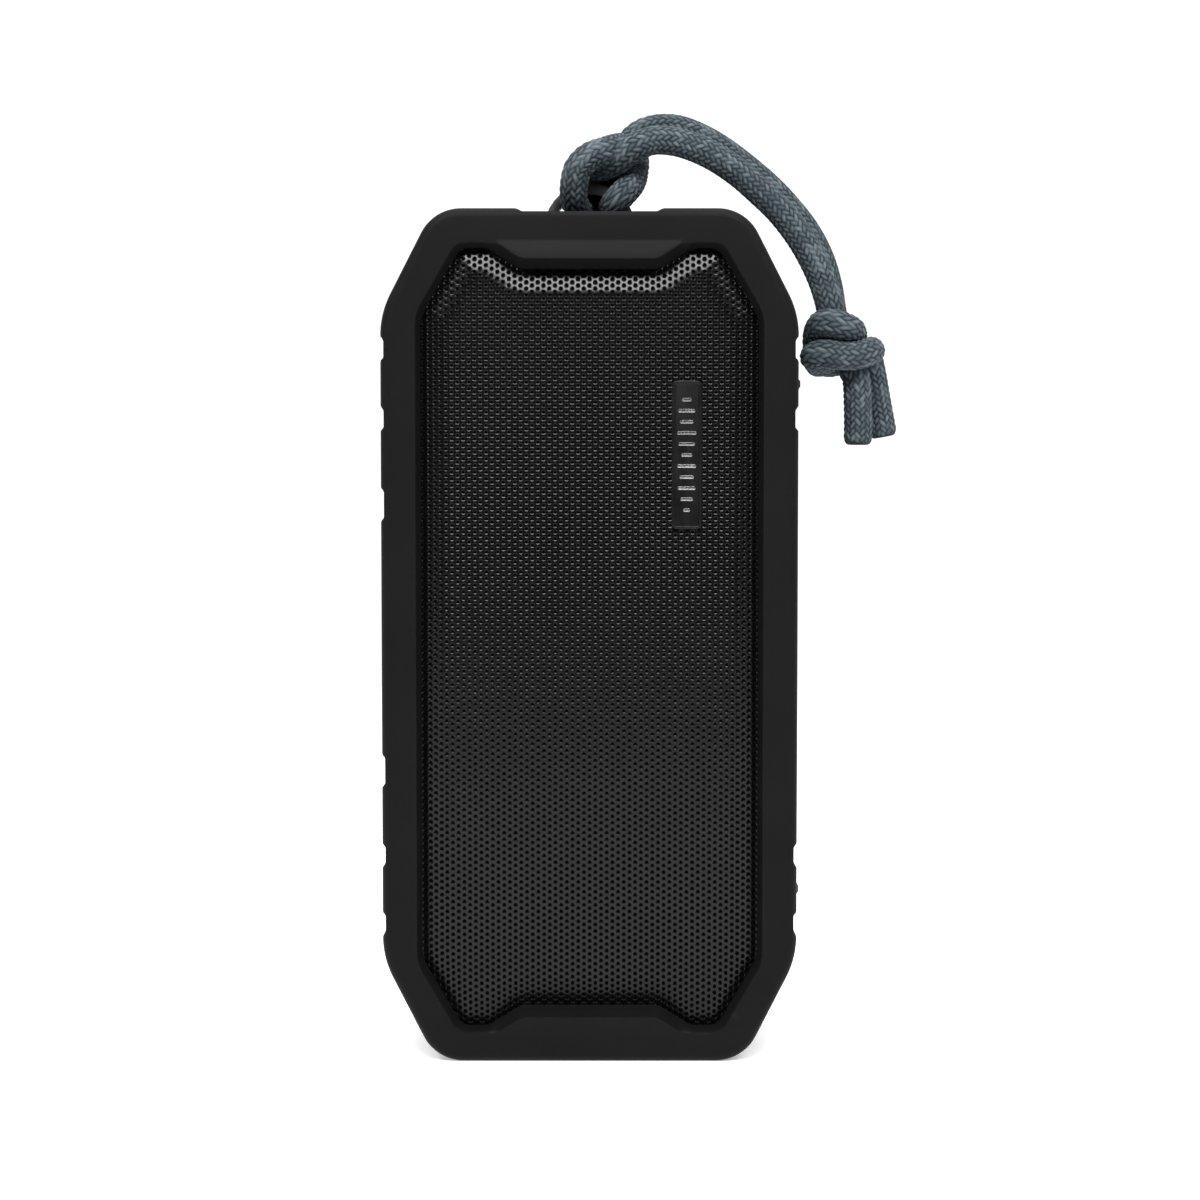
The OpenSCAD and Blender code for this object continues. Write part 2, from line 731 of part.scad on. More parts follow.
// Hinged cover; its barrel runs between the ears of the rear housing.
module port_cover() {
    top = cover_hinge_z + cover_h;
    rear = panel_y + 0.5;
    barrel_r = 1.5;
    color(rubber) difference() {
        union() {
            rod_x(cover_hinge_y, cover_hinge_z, barrel_r, -cover_w / 2, cover_w / 2);
            box([-cover_w / 2, rear - cover_t, cover_hinge_z], [cover_w / 2, rear, top]);
            // soft pads that close over the sockets' mouths
            slab(pad_y, rear - cover_t) polygon(plate_loop(usb_x, socket_z, 9, 4, 1));
            rod_y(aux_x, socket_z, 2.6, pad_y, rear - cover_t);
            // finger lip at the top edge
            box([-5, rear, top - 1.4], [5, rear + 0.5, top]);
        }
        rod_x(cover_hinge_y, cover_hinge_z, pin_r + 0.05, -cover_w, cover_w);
    }
}

module port_hinge_pin() {
    color(steel) rod_x(cover_hinge_y, cover_hinge_z, pin_r, -cover_w / 2 - 1.8, cover_w / 2 + 1.8);
}

// ---- buttons ----

module button(z) {
    shoulder = -half_w + 1.5;
    seat = shoulder + 0.5;
    color(rubber) {
        rod_x(0, z, button_r, -half_w - proud, shoulder);
        rod_x(0, z, button_r + 0.5, shoulder, seat);
        rod_x(0, z, 2.7, seat, -half_w + housing_in - 0.4);
    }
}

module power_button() button(button_zs[0]);
module volume_down_button() button(button_zs[1]);
module play_button() button(button_zs[2]);
module volume_up_button() button(button_zs[3]);

module button_switches() {
    color(steel) for (z = button_zs) {
        box([switch_board_x - 1.6, -3, z - 3], [switch_board_x, 3, z + 3]);
        rod_x(0, z, 1.6, switch_x, switch_board_x - 1.6);
    }
}

module button_board() {
    color(board_green)
        box([switch_board_x, -6, mid_z - 21], [switch_board_x + board_t, light_y + 1.5, mid_z + 21]);
}

module status_light() {
    color([0.9, 0.9, 0.95]) rod_x(light_y, mid_z, light_r, -half_w + 0.05, switch_board_x);
}

// ---- wiring ----

// Lead from the main board's top or bottom edge to a driver's basket.
module speaker_lead(side) {
    driver_z = mid_z + side * driver_offset;
    edge_z = mid_z + side * main_board_h / 2;
    tube([
        [side * 12, -0.6, edge_z], [side * 12, -0.6, edge_z + side * 3],
        [side * 12.6, -3, driver_z - side * 18], [side * 12.6, -6, driver_z - side * 12.6],
        [side * 11.9, -8, driver_z - side * 11.9]
    ], 0.5);
}

module speaker_leads() {
    color([0.6, 0.1, 0.1]) for (side = [-1, 1]) speaker_lead(side);
}

module battery_lead() {
    top = battery_z + battery_h / 2;
    color([0.1, 0.1, 0.1])
        tube([[-12, 3, top + 4], [-12, 5, top + 4], [-12.6, 6.8, top + 3.4], [-13.6, 7.4, top + 2],
            [-13.6, 7.4, top]], 0.7);
}

// ---- lug and screws ----

// Half-ellipse above height base.
function arch(half, base, top) =
    [for (a = [0 : 10 : 180]) [half * cos(a), base + (top - base) * sin(a)]];

module lug_arch() {
    difference() {
        slab(-lug_y, lug_y) polygon(arch(lug_half, plate_top - 0.2, lug_top));
        slab(-lug_y - 1, lug_y + 1) polygon(arch(lug_eye_half, body_h - recess_d, lug_top - lug_bar));
    }
}

module lanyard_lug() {
    color(black_plastic) difference() {
        union() {
            box([-plate_half, -5, plate_top - 1.6], [plate_half, 5, plate_top]);
            lug_arch();
        }
        for (x = [-lug_screw_x, lug_screw_x]) {
            translate([x, 0, plate_top - 3]) cylinder(r = 1.1, h = 6);
            translate([x, 0, plate_top - 0.8]) cylinder(r = 2, h = 2);
        }
    }
}

module lug_screws() {
    color(steel) for (x = [-lug_screw_x, lug_screw_x])
        translate([x, 0, 0]) {
            translate([0, 0, plate_top - 7.5]) cylinder(r = 0.85, h = 7.5 - 0.8);
            difference() {
                translate([0, 0, plate_top - 0.8]) cylinder(r = 1.8, h = 0.75);
                for (a = [0, 90])
                    translate([0, 0, plate_top]) rotate([0, 0, a]) cube([2, 0.5, 0.7], center = true);
            }
        }
}

module housing_screws() {
    color(steel) for (x = [-screw_x, screw_x], z = screw_zs)
        screw_y(x, z, -11, panel_y - 2.4, 1.25, 2.3, 1.4);
}

// ---- lanyard ----

module hang() translate([0, 0, body_h]) children();

// Closed outer shape of a stretch of tied cord, round balls of radius r.
module bundle(centres, r) {
    hull() for (p = centres) translate(p) sphere(r = r, $fn = 16);
}

// Outer shape of the girth hitch round the lug's bar.
module lanyard_hitch() {
    color(cord_grey) difference() {
        hang() bundle([
            [-3, -5.6, 2.1], [4, -5, 2.1], [-3, 5.6, 2.1], [4, 5.6, 2.1], [-3, -6.4, 8],
            [0.4, -6.6, 11.4], [6, -3.4, 13], [8, 2.4, 13.6], [8.6, 2.6, 8], [-2.6, 5.6, 8]
        ], cord_r);
        lug_arch();
    }
}

module lanyard_front_strand() color(cord_grey) hang() tube(front_strand, cord_r, 10);
module lanyard_rear_strand() color(cord_grey) hang() tube(rear_strand, cord_r, 10);

// Outer shape of the overhand knot in the doubled cord.
module lanyard_knot() {
    color(cord_grey) hang() bundle([
        [45.4, -2.6, -22.4], [45.4, 2.6, -22.4], [51.4, -2.6, -22.4], [51.4, 2.6, -22.4],
        [45.6, -2, -25.6], [45.6, 2, -25.6], [52.6, -2, -26.2], [52.6, 2, -26.2]
    ], 4.4);
}

module lanyard_left_tail() color(cord_grey) hang() tube(left_tail, cord_r, 10);
module lanyard_right_tail() color(cord_grey) hang() tube(right_tail, cord_r, 10);

bumper();
front_housing();
rear_housing();
housing_seal();
grille();
grille_cloth();
badge();
upper_basket();
upper_magnet();
upper_voice_coil();
upper_spider();
upper_cone();
upper_dust_cap();
upper_surround();
lower_basket();
lower_magnet();
lower_voice_coil();
lower_spider();
lower_cone();
lower_dust_cap();
lower_surround();
driver_screws();
radiator_frame();
radiator_surround();
radiator_plate();
battery_pack();
battery_tray();
main_board();
main_board_parts();
board_screws();
port_board();
charging_socket();
aux_socket();
port_cover();
port_hinge_pin();
button_board();
button_switches();
power_button();
volume_down_button();
play_button();
volume_up_button();
status_light();
speaker_leads();
battery_lead();
lanyard_lug();
lug_screws();
housing_screws();
lanyard_hitch();
lanyard_front_strand();
lanyard_rear_strand();
lanyard_knot();
lanyard_left_tail();
lanyard_right_tail();
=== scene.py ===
import json
import math

import bmesh
import bpy
import numpy as np
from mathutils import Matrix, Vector

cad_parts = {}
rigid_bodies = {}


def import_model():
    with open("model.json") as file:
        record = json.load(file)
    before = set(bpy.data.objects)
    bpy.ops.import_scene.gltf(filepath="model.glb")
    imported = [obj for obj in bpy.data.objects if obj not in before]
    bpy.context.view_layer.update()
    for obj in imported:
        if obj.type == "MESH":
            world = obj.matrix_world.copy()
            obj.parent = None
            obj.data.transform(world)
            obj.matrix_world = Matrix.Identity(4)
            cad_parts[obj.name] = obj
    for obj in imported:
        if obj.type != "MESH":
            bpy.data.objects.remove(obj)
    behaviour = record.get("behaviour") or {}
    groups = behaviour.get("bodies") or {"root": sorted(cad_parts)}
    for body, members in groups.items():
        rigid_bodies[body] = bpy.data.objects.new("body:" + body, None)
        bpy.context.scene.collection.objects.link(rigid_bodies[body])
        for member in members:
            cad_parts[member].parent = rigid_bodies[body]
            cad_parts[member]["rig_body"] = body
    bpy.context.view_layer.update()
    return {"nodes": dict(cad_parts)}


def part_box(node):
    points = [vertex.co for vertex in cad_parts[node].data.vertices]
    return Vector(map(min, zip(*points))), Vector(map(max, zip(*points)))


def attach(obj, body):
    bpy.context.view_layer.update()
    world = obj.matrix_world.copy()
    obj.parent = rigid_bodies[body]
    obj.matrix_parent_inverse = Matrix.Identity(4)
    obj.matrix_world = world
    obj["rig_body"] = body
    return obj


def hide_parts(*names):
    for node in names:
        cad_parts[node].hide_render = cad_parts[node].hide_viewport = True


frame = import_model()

# Lengths in this script are millimetres until a mesh, light or camera is made.
MM = 0.001

# ---------------------------------------------------------------- dimensions

LOW, HIGH = (np.array(corner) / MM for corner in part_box("bumper"))
BODY_H = HIGH[2]                     # the top end; the lug and the lanyard stand above it
BODY_W = 78.0
HALF_W = BODY_W / 2
MID_Z = BODY_H / 2
RIM_Y = 21.8                         # flat rims lie at -RIM_Y and RIM_Y
WALL = 2.6                           # bumper wall
FACE_Y = RIM_Y - WALL                # outer faces of the closed housings
EDGE_R = 1.8                         # rounding between the sides and the rims
TAB_RISE = HIGH[1] - RIM_Y
TAB_FOOT = 5.6                       # where the tabs' ramps begin, from the body's end
TAB_RUN = 3.6                        # how far the ramps take to reach their full height
GROOVE_DEPTH = 0.65                  # grooves across the sides
LUG_RECESS = 0.7                     # recess of the top end round the lug
RIB_RISE = 0.4                       # small ribs on the right side
GRILLE_Y = -21.0
SHEET_T = 0.6

# Outlines: one quarter as (half width, distance from the body's end, corner radius), side first.
BODY_QUARTER = [(HALF_W, 19.5, 17), (HALF_W - 10, 0, 8.4)]
LIP_QUARTER = [(HALF_W - 6.6, 19.2, 8), (HALF_W - 14.2, 6.1, 3), (17.5, 6.1, 3), (12.7, 9.2, 4)]
MESH_QUARTER = [(HALF_W - 7.4, 19.8, 8), (HALF_W - 14.9, 6.9, 3), (19.1, 6.9, 4), (13, 10.75, 4)]
OPENING_DROP = (0, 0.4)              # the front opening sits this far below the middle

BUTTONS = ["power_button", "volume_down_button", "play_button", "volume_up_button"]
BUTTON_ZS = [sum(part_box(name)[k][2] for k in (0, 1)) / 2 / MM for name in BUTTONS]
BUTTON_R = 3.8
LIGHT_Y = 7.0

CORD_D = 5.4
CORD_R = CORD_D / 2

# ---------------------------------------------------------------- camera

CAMERA_FROM = Vector((1.95, -RIM_Y - 450, 110)) * MM
CAMERA_TO = Vector((1.95, -RIM_Y, 87.2)) * MM
LENS = 72.46


def make_camera():
    data = bpy.data.cameras.new("camera")
    data.lens = LENS
    data.sensor_width = 36
    data.clip_start = 0.01
    camera = bpy.data.objects.new("camera", data)
    camera.location = CAMERA_FROM
    camera.rotation_euler = (CAMERA_TO - CAMERA_FROM).to_track_quat("-Z", "Y").to_euler()
    bpy.context.collection.objects.link(camera)
    bpy.context.scene.camera = camera


make_camera()

# ---------------------------------------------------------------- material kit


class Shader:
    """A material's node tree, with short calls for the nodes used here."""

    def __init__(self, name, colour, roughness, metallic=0.0, coat=0.0, specular=0.5):
        self.material = bpy.data.materials.new(name)
        self.material.use_nodes = True
        self.tree = self.material.node_tree
        self.surface = self.tree.nodes["Principled BSDF"]
        self.surface.inputs["Base Color"].default_value = (*colour, 1)
        self.surface.inputs["Roughness"].default_value = roughness
        self.surface.inputs["Metallic"].default_value = metallic
        self.surface.inputs["Coat Weight"].default_value = coat
        self.surface.inputs["Coat Roughness"].default_value = 0.08
        self.surface.inputs["Specular IOR Level"].default_value = specular
        self.place = self.node("ShaderNodeTexCoord").outputs["Object"]
        self.normal = None

    def node(self, kind, **values):
        made = self.tree.nodes.new(kind)
        for key, value in values.items():
            setattr(made, key, value)
        return made

    def link(self, source, target):
        self.tree.links.new(source, target)

    def feed(self, value, target):
        """Links a socket to the target, or sets the target to a number or a colour."""
        if isinstance(value, bpy.types.NodeSocket):
            self.link(value, target)
        else:
            target.default_value = (*value, 1) if isinstance(value, tuple) else value

    def scaled(self, per_mm, place=None, stretch=(1, 1, 1), tilt_deg=0):
        """A place counted in features, of which per_mm fit in each millimetre."""
        mapping = self.node("ShaderNodeMapping")
        mapping.inputs["Scale"].default_value = [per_mm / MM / s for s in stretch]
        mapping.inputs["Rotation"].default_value = (math.radians(tilt_deg), 0, 0)
        self.link(place or self.place, mapping.inputs["Vector"])
        return mapping.outputs["Vector"]

    def noise(self, per_mm, detail=3.0, place=None, stretch=(1, 1, 1)):
        """Noise with per_mm features in each millimetre, stretched by the given factors."""
        noise = self.node("ShaderNodeTexNoise")
        noise.inputs["Scale"].default_value = 1.0
        noise.inputs["Detail"].default_value = detail
        self.link(self.scaled(per_mm, place, stretch), noise.inputs["Vector"])
        return noise.outputs["Fac"]

    def cells(self, per_mm):
        """Distance to the middle of the nearest of per_mm cells in each millimetre."""
        cells = self.node("ShaderNodeTexVoronoi")
        cells.inputs["Scale"].default_value = 1.0
        self.link(self.scaled(per_mm), cells.inputs["Vector"])
        return cells.outputs["Distance"]

    def ramp(self, source, stops):
        ramp = self.node("ShaderNodeValToRGB")
        elements = ramp.color_ramp.elements
        for k, (at, colour) in enumerate(stops):
            element = elements[k] if k < 2 else elements.new(at)
            element.position = at
            element.color = (*colour, 1) if len(colour) == 3 else colour
        self.link(source, ramp.inputs["Fac"])
        return ramp.outputs["Color"]

    def spread(self, source, low, high, frm=(0.3, 0.7)):
        """Maps a factor to the range from low to high."""
        mapped = self.node("ShaderNodeMapRange")
        mapped.inputs["From Min"].default_value = frm[0]
        mapped.inputs["From Max"].default_value = frm[1]
        mapped.inputs["To Min"].default_value = low
        mapped.inputs["To Max"].default_value = high
        self.link(source, mapped.inputs["Value"])
        return mapped.outputs["Result"]

    def mix(self, factor, first, second, blend="MIX"):
        mixed = self.node("ShaderNodeMix", data_type="RGBA", blend_type=blend)
        for value, socket in ((factor, 0), (first, 6), (second, 7)):
            self.feed(value, mixed.inputs[socket])
        return mixed.outputs[2]

    def math(self, operation, first, second):
        made = self.node("ShaderNodeMath", operation=operation)
        self.feed(first, made.inputs[0])
        self.feed(second, made.inputs[1])
        return made.outputs[0]

    def bump(self, height, depth_mm):
        """Relief of the given depth, on top of any relief added before."""
        made = self.node("ShaderNodeBump")
        made.inputs["Strength"].default_value = 1.0
        made.inputs["Distance"].default_value = depth_mm * MM
        self.link(height, made.inputs["Height"])
        if self.normal is not None:
            self.link(self.normal, made.inputs["Normal"])
        self.normal = made.outputs["Normal"]
        self.link(self.normal, self.surface.inputs["Normal"])

    def colour(self, source):
        self.link(source, self.surface.inputs["Base Color"])

    def roughness(self, source):
        self.link(source, self.surface.inputs["Roughness"])

    def axes(self, vector):
        """The X, Y and Z of a vector."""
        split = self.node("ShaderNodeSeparateXYZ")
        self.link(vector, split.inputs[0])
        return split.outputs

    def edges(self):
        """How far a place stands out, from 0 in a crease to 1 on an edge."""
        return self.node("ShaderNodeNewGeometry").outputs["Pointiness"]


def grey(value):
    return (value, value, value)


def moulded(name, dark, light, roughness, grain_mm, depth_mm, worn=None, specular=0.3):
    """Moulded plastic or rubber: mottled colour, grained surface and rubbed edges."""
    shader = Shader(name, dark, roughness, specular=specular)
    cloud = shader.noise(0.06, 4)
    colour = shader.ramp(cloud, [(0.3, dark), (0.7, light)])
    if worn is not None:
        rubbed = shader.spread(shader.edges(), 0, 1, (0.52, 0.6))
        broken = shader.math("MULTIPLY", rubbed, shader.spread(shader.noise(0.5, 4), 0.2, 1.0))
        colour = shader.mix(broken, colour, worn)
    shader.colour(colour)
    grain = shader.noise(1 / grain_mm, 2)
    shader.roughness(shader.spread(grain, roughness - 0.06, roughness + 0.06))
    shader.bump(grain, depth_mm)
    return shader


def bumper_rubber():
    shader = moulded("bumper_rubber", (0.0036, 0.0036, 0.0038), (0.0047, 0.0047, 0.005), 0.55, 0.16, 0.012,
                     worn=(0.009, 0.009, 0.0095), specular=0.08)
    shader.bump(shader.noise(1.1, 3), 0.01)
    return shader.material


def housing_plastic():
    shader = moulded("housing_plastic", grey(0.017), grey(0.021), 0.5, 0.3, 0.02, worn=grey(0.034))
    shader.bump(shader.cells(1.6), 0.015)
    return shader.material


def seal_rubber():
    return moulded("seal_rubber", grey(0.03), grey(0.045), 0.7, 0.2, 0.01).material


def button_rubber():
    return moulded("button_rubber", grey(0.024), grey(0.03), 0.6, 0.14, 0.01, worn=grey(0.045)).material


def icon_paint():
    return moulded("icon_paint", grey(0.3), grey(0.42), 0.6, 0.12, 0.01).material


def grille_metal():
    """Black lacquered perforated steel."""
    shader = Shader("grille_metal", grey(0.0015), 0.2, specular=0.21)
    cloud = shader.noise(0.08, 4)
    shader.colour(shader.ramp(cloud, [(0.3, grey(0.001)), (0.7, grey(0.002))]))
    fine = shader.noise(2.2, 3)
    shader.roughness(shader.spread(fine, 0.14, 0.24))
    shader.bump(fine, 0.01)
    return shader.material


def woven(name, dark, light, thread_mm, depth_mm, specular=0.3):
    """Plain weave in the X and Z directions."""
    shader = Shader(name, dark, 0.9, specular=specular)
    place = shader.axes(shader.place)
    step = 2 * math.pi / (2 * thread_mm * MM)
    waves = []
    for axis in ("X", "Z"):
        angle = shader.math("MULTIPLY", place[axis], step)
        waves.append(shader.math("SINE", angle, 0.0))
    height = shader.math("MULTIPLY", waves[0], waves[1])
    thread = shader.math("ADD", height, shader.math("MULTIPLY", shader.noise(6), 0.5))
    # Painted shade: the colour follows the weave's height and is darker down between the threads.
    shader.colour(shader.ramp(shader.spread(thread, 0, 1, (-1, 1.4)), [(0.0, dark), (1.0, light)]))
    shader.bump(thread, depth_mm)
    return shader.material


def grille_cloth():
    return woven("grille_cloth", grey(0.001), grey(0.004), 0.22, 0.05, specular=0.03)


def spider_cloth():
    return woven("spider_cloth", (0.35, 0.22, 0.06), (0.6, 0.42, 0.16), 0.4, 0.06)


def badge_gloss():
    shader = Shader("badge_gloss", grey(0.004), 0.25, specular=0.14)
    cloud = shader.noise(0.3, 5)
    shader.colour(shader.ramp(cloud, [(0.3, grey(0.004)), (0.7, grey(0.008))]))
    scuffs = shader.noise(0.9, 6, stretch=(1, 1, 6))
    shader.roughness(shader.spread(scuffs, 0.18, 0.34))
    shader.bump(scuffs, 0.004)
    return shader.material


def metal(name, dark, light, roughness, grain=(1, 1, 1), depth_mm=0.004):
    """Bare metal with a directional or even grain."""
    shader = Shader(name, dark, roughness, metallic=1.0)
    shader.colour(shader.ramp(shader.noise(0.25, 5), [(0.3, dark), (0.7, light)]))
    lines = shader.noise(3, 4, stretch=grain)
    shader.roughness(shader.spread(lines, roughness - 0.1, roughness + 0.12))
    shader.bump(lines, depth_mm)
    return shader.material


def screw_steel():
    return metal("screw_steel", (0.09, 0.09, 0.095), (0.16, 0.16, 0.165), 0.36)


def plated_steel():
    return metal("plated_steel", grey(0.5), grey(0.66), 0.3)


def badge_chrome():
    return metal("badge_chrome", grey(0.3), grey(0.42), 0.24)


def magnet_steel():
    return metal("magnet_steel", grey(0.35), grey(0.5), 0.4)


def basket_metal():
    return metal("basket_metal", grey(0.05), grey(0.08), 0.5, depth_mm=0.01)


def radiator_metal():
    return metal("radiator_metal", grey(0.05), grey(0.075), 0.34, grain=(14, 1, 1), depth_mm=0.006)


def coil_copper():
    shader = Shader("coil_copper", (0.7, 0.26, 0.1), 0.3, metallic=1.0)
    wire_mm = 0.22
    angle = shader.math("MULTIPLY", shader.axes(shader.place)["Y"], 2 * math.pi / (wire_mm * MM))
    turns = shader.math("SINE", angle, 0.0)
    # Painted shade: the copper is darker down between the wire's turns and lighter on their crowns.
    painted_turn_shade = shader.spread(turns, 0, 1, (-1, 1))
    shader.colour(shader.ramp(painted_turn_shade, [(0, (0.3, 0.09, 0.03)), (1, (0.8, 0.34, 0.14))]))
    shader.bump(turns, 0.04)
    return shader.material


def cone_paper():
    shader = Shader("cone_paper", grey(0.02), 0.85)
    fibres = shader.noise(1.4, 8)
    shader.colour(shader.ramp(fibres, [(0.3, grey(0.014)), (0.7, grey(0.035))]))
    shader.bump(fibres, 0.05)
    return shader.material


def battery_wrap():
    shader = Shader("battery_wrap", (0.02, 0.09, 0.25), 0.35, coat=0.4)
    shader.colour(shader.ramp(shader.noise(0.12, 4), [(0.3, (0.015, 0.07, 0.2)), (0.7, (0.03, 0.12, 0.3))]))
    creases = shader.noise(0.4, 6, stretch=(1, 1, 5))
    shader.roughness(shader.spread(creases, 0.25, 0.5))
    shader.bump(creases, 0.08)
    return shader.material


def circuit_board():
    """Green solder mask over copper tracks."""
    shader = Shader("circuit_board", (0.01, 0.09, 0.04), 0.35, coat=0.5)
    tracks = shader.node("ShaderNodeTexBrick")
    shader.link(shader.scaled(1 / 3, tilt_deg=90), tracks.inputs["Vector"])
    tracks.inputs["Color1"].default_value = (0.008, 0.085, 0.04, 1)
    tracks.inputs["Color2"].default_value = (0.01, 0.1, 0.045, 1)
    tracks.inputs["Mortar"].default_value = (0.02, 0.16, 0.07, 1)
    tracks.inputs["Mortar Size"].default_value = 0.05
    shader.colour(tracks.outputs["Color"])
    shader.roughness(shader.spread(shader.noise(1.5), 0.25, 0.45))
    shader.bump(tracks.outputs["Fac"], 0.03)
    return shader.material


def board_parts():
    return moulded("board_parts", grey(0.02), grey(0.04), 0.5, 0.4, 0.02, worn=grey(0.1)).material


def light_pipe():
    shader = Shader("light_pipe", (0.75, 0.78, 0.8), 0.25)
    shader.surface.inputs["Transmission Weight"].default_value = 0.5
    haze = shader.noise(2.0, 3)
    shader.colour(shader.ramp(haze, [(0.3, (0.6, 0.63, 0.66)), (0.7, (0.85, 0.88, 0.9))]))
    shader.roughness(shader.spread(haze, 0.15, 0.35))
    shader.bump(haze, 0.01)
    return shader.material


def lead_wire(name, dark, light):
    shader = Shader(name, dark, 0.45)
    shader.colour(shader.ramp(shader.noise(0.5, 4), [(0.3, dark), (0.7, light)]))
    shader.bump(shader.noise(2.5, 3), 0.02)
    return shader.material


def lanyard_cord():
    """Braided yarn. The mesh stores its relief, a tint for each float and where the fibres run."""
    shader = Shader("lanyard_cord", (0.08, 0.1, 0.12), 0.78, specular=0.18)
    shader.surface.inputs["Sheen Weight"].default_value = 0.04
    shader.surface.inputs["Sheen Roughness"].default_value = 0.5
    shader.surface.inputs["Sheen Tint"].default_value = (0.75, 0.85, 0.95, 1)
    yarn = shader.node("ShaderNodeAttribute", attribute_name="yarn")
    relief, tint, melt = shader.axes(yarn.outputs["Vector"])
    fibre_at = shader.node("ShaderNodeAttribute", attribute_name="fibre").outputs["Vector"]
    fibres = shader.noise(0.011, 3, place=fibre_at, stretch=(1, 6, 1))
    # Painted shade: the colour follows the braid's relief, near black in the grooves between yarns and
    # lighter on the yarns' crowns.
    body = shader.ramp(relief, [(0.0, (0.002, 0.003, 0.004)), (0.5, (0.014, 0.02, 0.024)),
                                (1.0, (0.083, 0.107, 0.12))])
    pale = shader.mix(shader.spread(tint, 0, 0.3, (0.6, 1.0)), body, (0.22, 0.26, 0.28))
    dark = shader.mix(shader.spread(tint, 0.6, 0, (0, 0.4)), pale, (0.03, 0.042, 0.052))
    streaked = shader.mix(shader.spread(fibres, 0.0, 0.55), dark, (0.24, 0.28, 0.3), "OVERLAY")
    shader.colour(shader.mix(melt, streaked, (0.008, 0.01, 0.012)))
    shader.bump(fibres, 0.08)
    return shader.material


# ---------------------------------------------------------------- mesh kit


def make_object(name, points_mm, faces, material, smooth_deg=35.0):
    """A mesh piece from points in millimetres, smooth except at edges sharper than smooth_deg."""
    mesh = bpy.data.meshes.new(name)
    mesh.from_pydata((np.asarray(points_mm, float) * MM).tolist(), [], [list(f) for f in faces])
    mesh.update()
    piece = bpy.data.objects.new(name, mesh)
    bpy.context.collection.objects.link(piece)
    mesh.materials.append(material)
    smooth(piece, smooth_deg)
    return piece


def smooth(piece, degrees):
    mesh = piece.data
    mesh.polygons.foreach_set("use_smooth", [True] * len(mesh.polygons))
    mesh.set_sharp_from_angle(angle=math.radians(degrees))


def unit(v):
    return v / np.linalg.norm(v)


def round_corner(a, p, b, r, inset, steps):
    """Points of the round corner at p, on the way from a to b; inset pulls them inwards."""
    u, v = unit(a - p), unit(b - p)
    half = math.acos(float(np.dot(u, v))) / 2
    before, after = p - a, b - p
    turn = 1 if before[0] * after[1] - before[1] * after[0] > 0 else -1
    centre = p + unit(u + v) * r / math.sin(half)
    first = math.atan2(u[0], -u[1])
    sweep = turn * (math.pi - 2 * half)
    angles = [first + sweep * k / steps for k in range(steps + 1)]
    return [centre + (turn * r - inset) * np.array((math.cos(t), math.sin(t))) for t in angles]


def resample(points, count):
    """count + 1 points at equal distances along an open line."""
    points = np.array(points)
    run = np.concatenate([[0], np.cumsum(np.linalg.norm(np.diff(points, axis=0), axis=1))])
    at = np.linspace(0, run[-1], count + 1)
    return np.stack([np.interp(at, run, points[:, k]) for k in range(points.shape[1])], axis=1)


QUARTER_COUNTS = (170, 44, 78)       # points along the side, the slanted corner and the end


def ring(quarter, inset=0.0, counts=QUARTER_COUNTS):
    """The closed outline of a quarter mirrored all round, counterclockwise from the right."""
    corners = [np.array((w, BODY_H - d)) for w, d, _ in quarter]
    ends = [np.array((quarter[0][0], 0.0)), *corners, np.array((-quarter[-1][0], corners[-1][1]))]
    arcs = [
        round_corner(ends[k], ends[k + 1], ends[k + 2], quarter[k][2], inset, 16)
        for k in range(len(quarter))
    ]
    start = np.array((quarter[0][0] - inset, MID_Z))
    finish = np.array((0.0, corners[-1][1] - inset))
    middle = [len(arcs[0]) // 2, len(arcs[1]) // 2]
    stretches = [
        [start, *arcs[0][: middle[0] + 1]],
        [*arcs[0][middle[0]:], *arcs[1][: middle[1] + 1]],
        [*arcs[1][middle[1]:], *[p for arc in arcs[2:] for p in arc], finish],
    ]
    parts = [resample(s, n)[:-1] for s, n in zip(stretches, counts)]
    up = np.concatenate([*parts, [finish]])
    over = (up * (-1, 1))[::-1]
    top = np.concatenate([up, over[1:]])
    under = (top * (1, -1) + (0, BODY_H))[::-1]
    return np.concatenate([top, under[1:-1]])


def at_depth(points, y):
    """Points in X and Z, placed at depth y, which may differ from point to point."""
    return np.stack([points[:, 0], np.broadcast_to(y, len(points)), points[:, 1]], axis=1)


def weave_rows(rows, close_rows=False):
    """Faces between rows of equally many points, each row a closed ring."""
    n, m = len(rows[0]), len(rows)
    faces = []
    for j in range(m if close_rows else m - 1):
        a, b = j * n, ((j + 1) % m) * n
        faces += [(a + i, a + (i + 1) % n, b + (i + 1) % n, b + i) for i in range(n)]
    return faces


def capped(rows):
    """Faces between rows, with a flat cap on the first row and on the last."""
    n = len(rows[0])
    last = (len(rows) - 1) * n
    return weave_rows(rows) + [tuple(range(n))[::-1], tuple(last + k for k in range(n))]


def round_loop(corners, r, inset=0.0):
    """A closed outline with each corner rounded."""
    loop = []
    for k, corner in enumerate(corners):
        loop += round_corner(corners[k - 1], corner, corners[(k + 1) % len(corners)], r, inset, 6)
    return np.array(loop)


def cut(piece, tools):
    """Cuts solids out of a piece, and removes them."""
    for tool in tools:
        step = piece.modifiers.new("cut", "BOOLEAN")
        step.operation = "DIFFERENCE"
        step.solver = "EXACT"
        step.object = tool
    bake_modifiers(piece)
    for tool in tools:
        bpy.data.objects.remove(tool)


def bake_modifiers(piece):
    graph = bpy.context.evaluated_depsgraph_get()
    mesh = bpy.data.meshes.new_from_object(piece.evaluated_get(graph))
    piece.modifiers.clear()
    piece.data = mesh


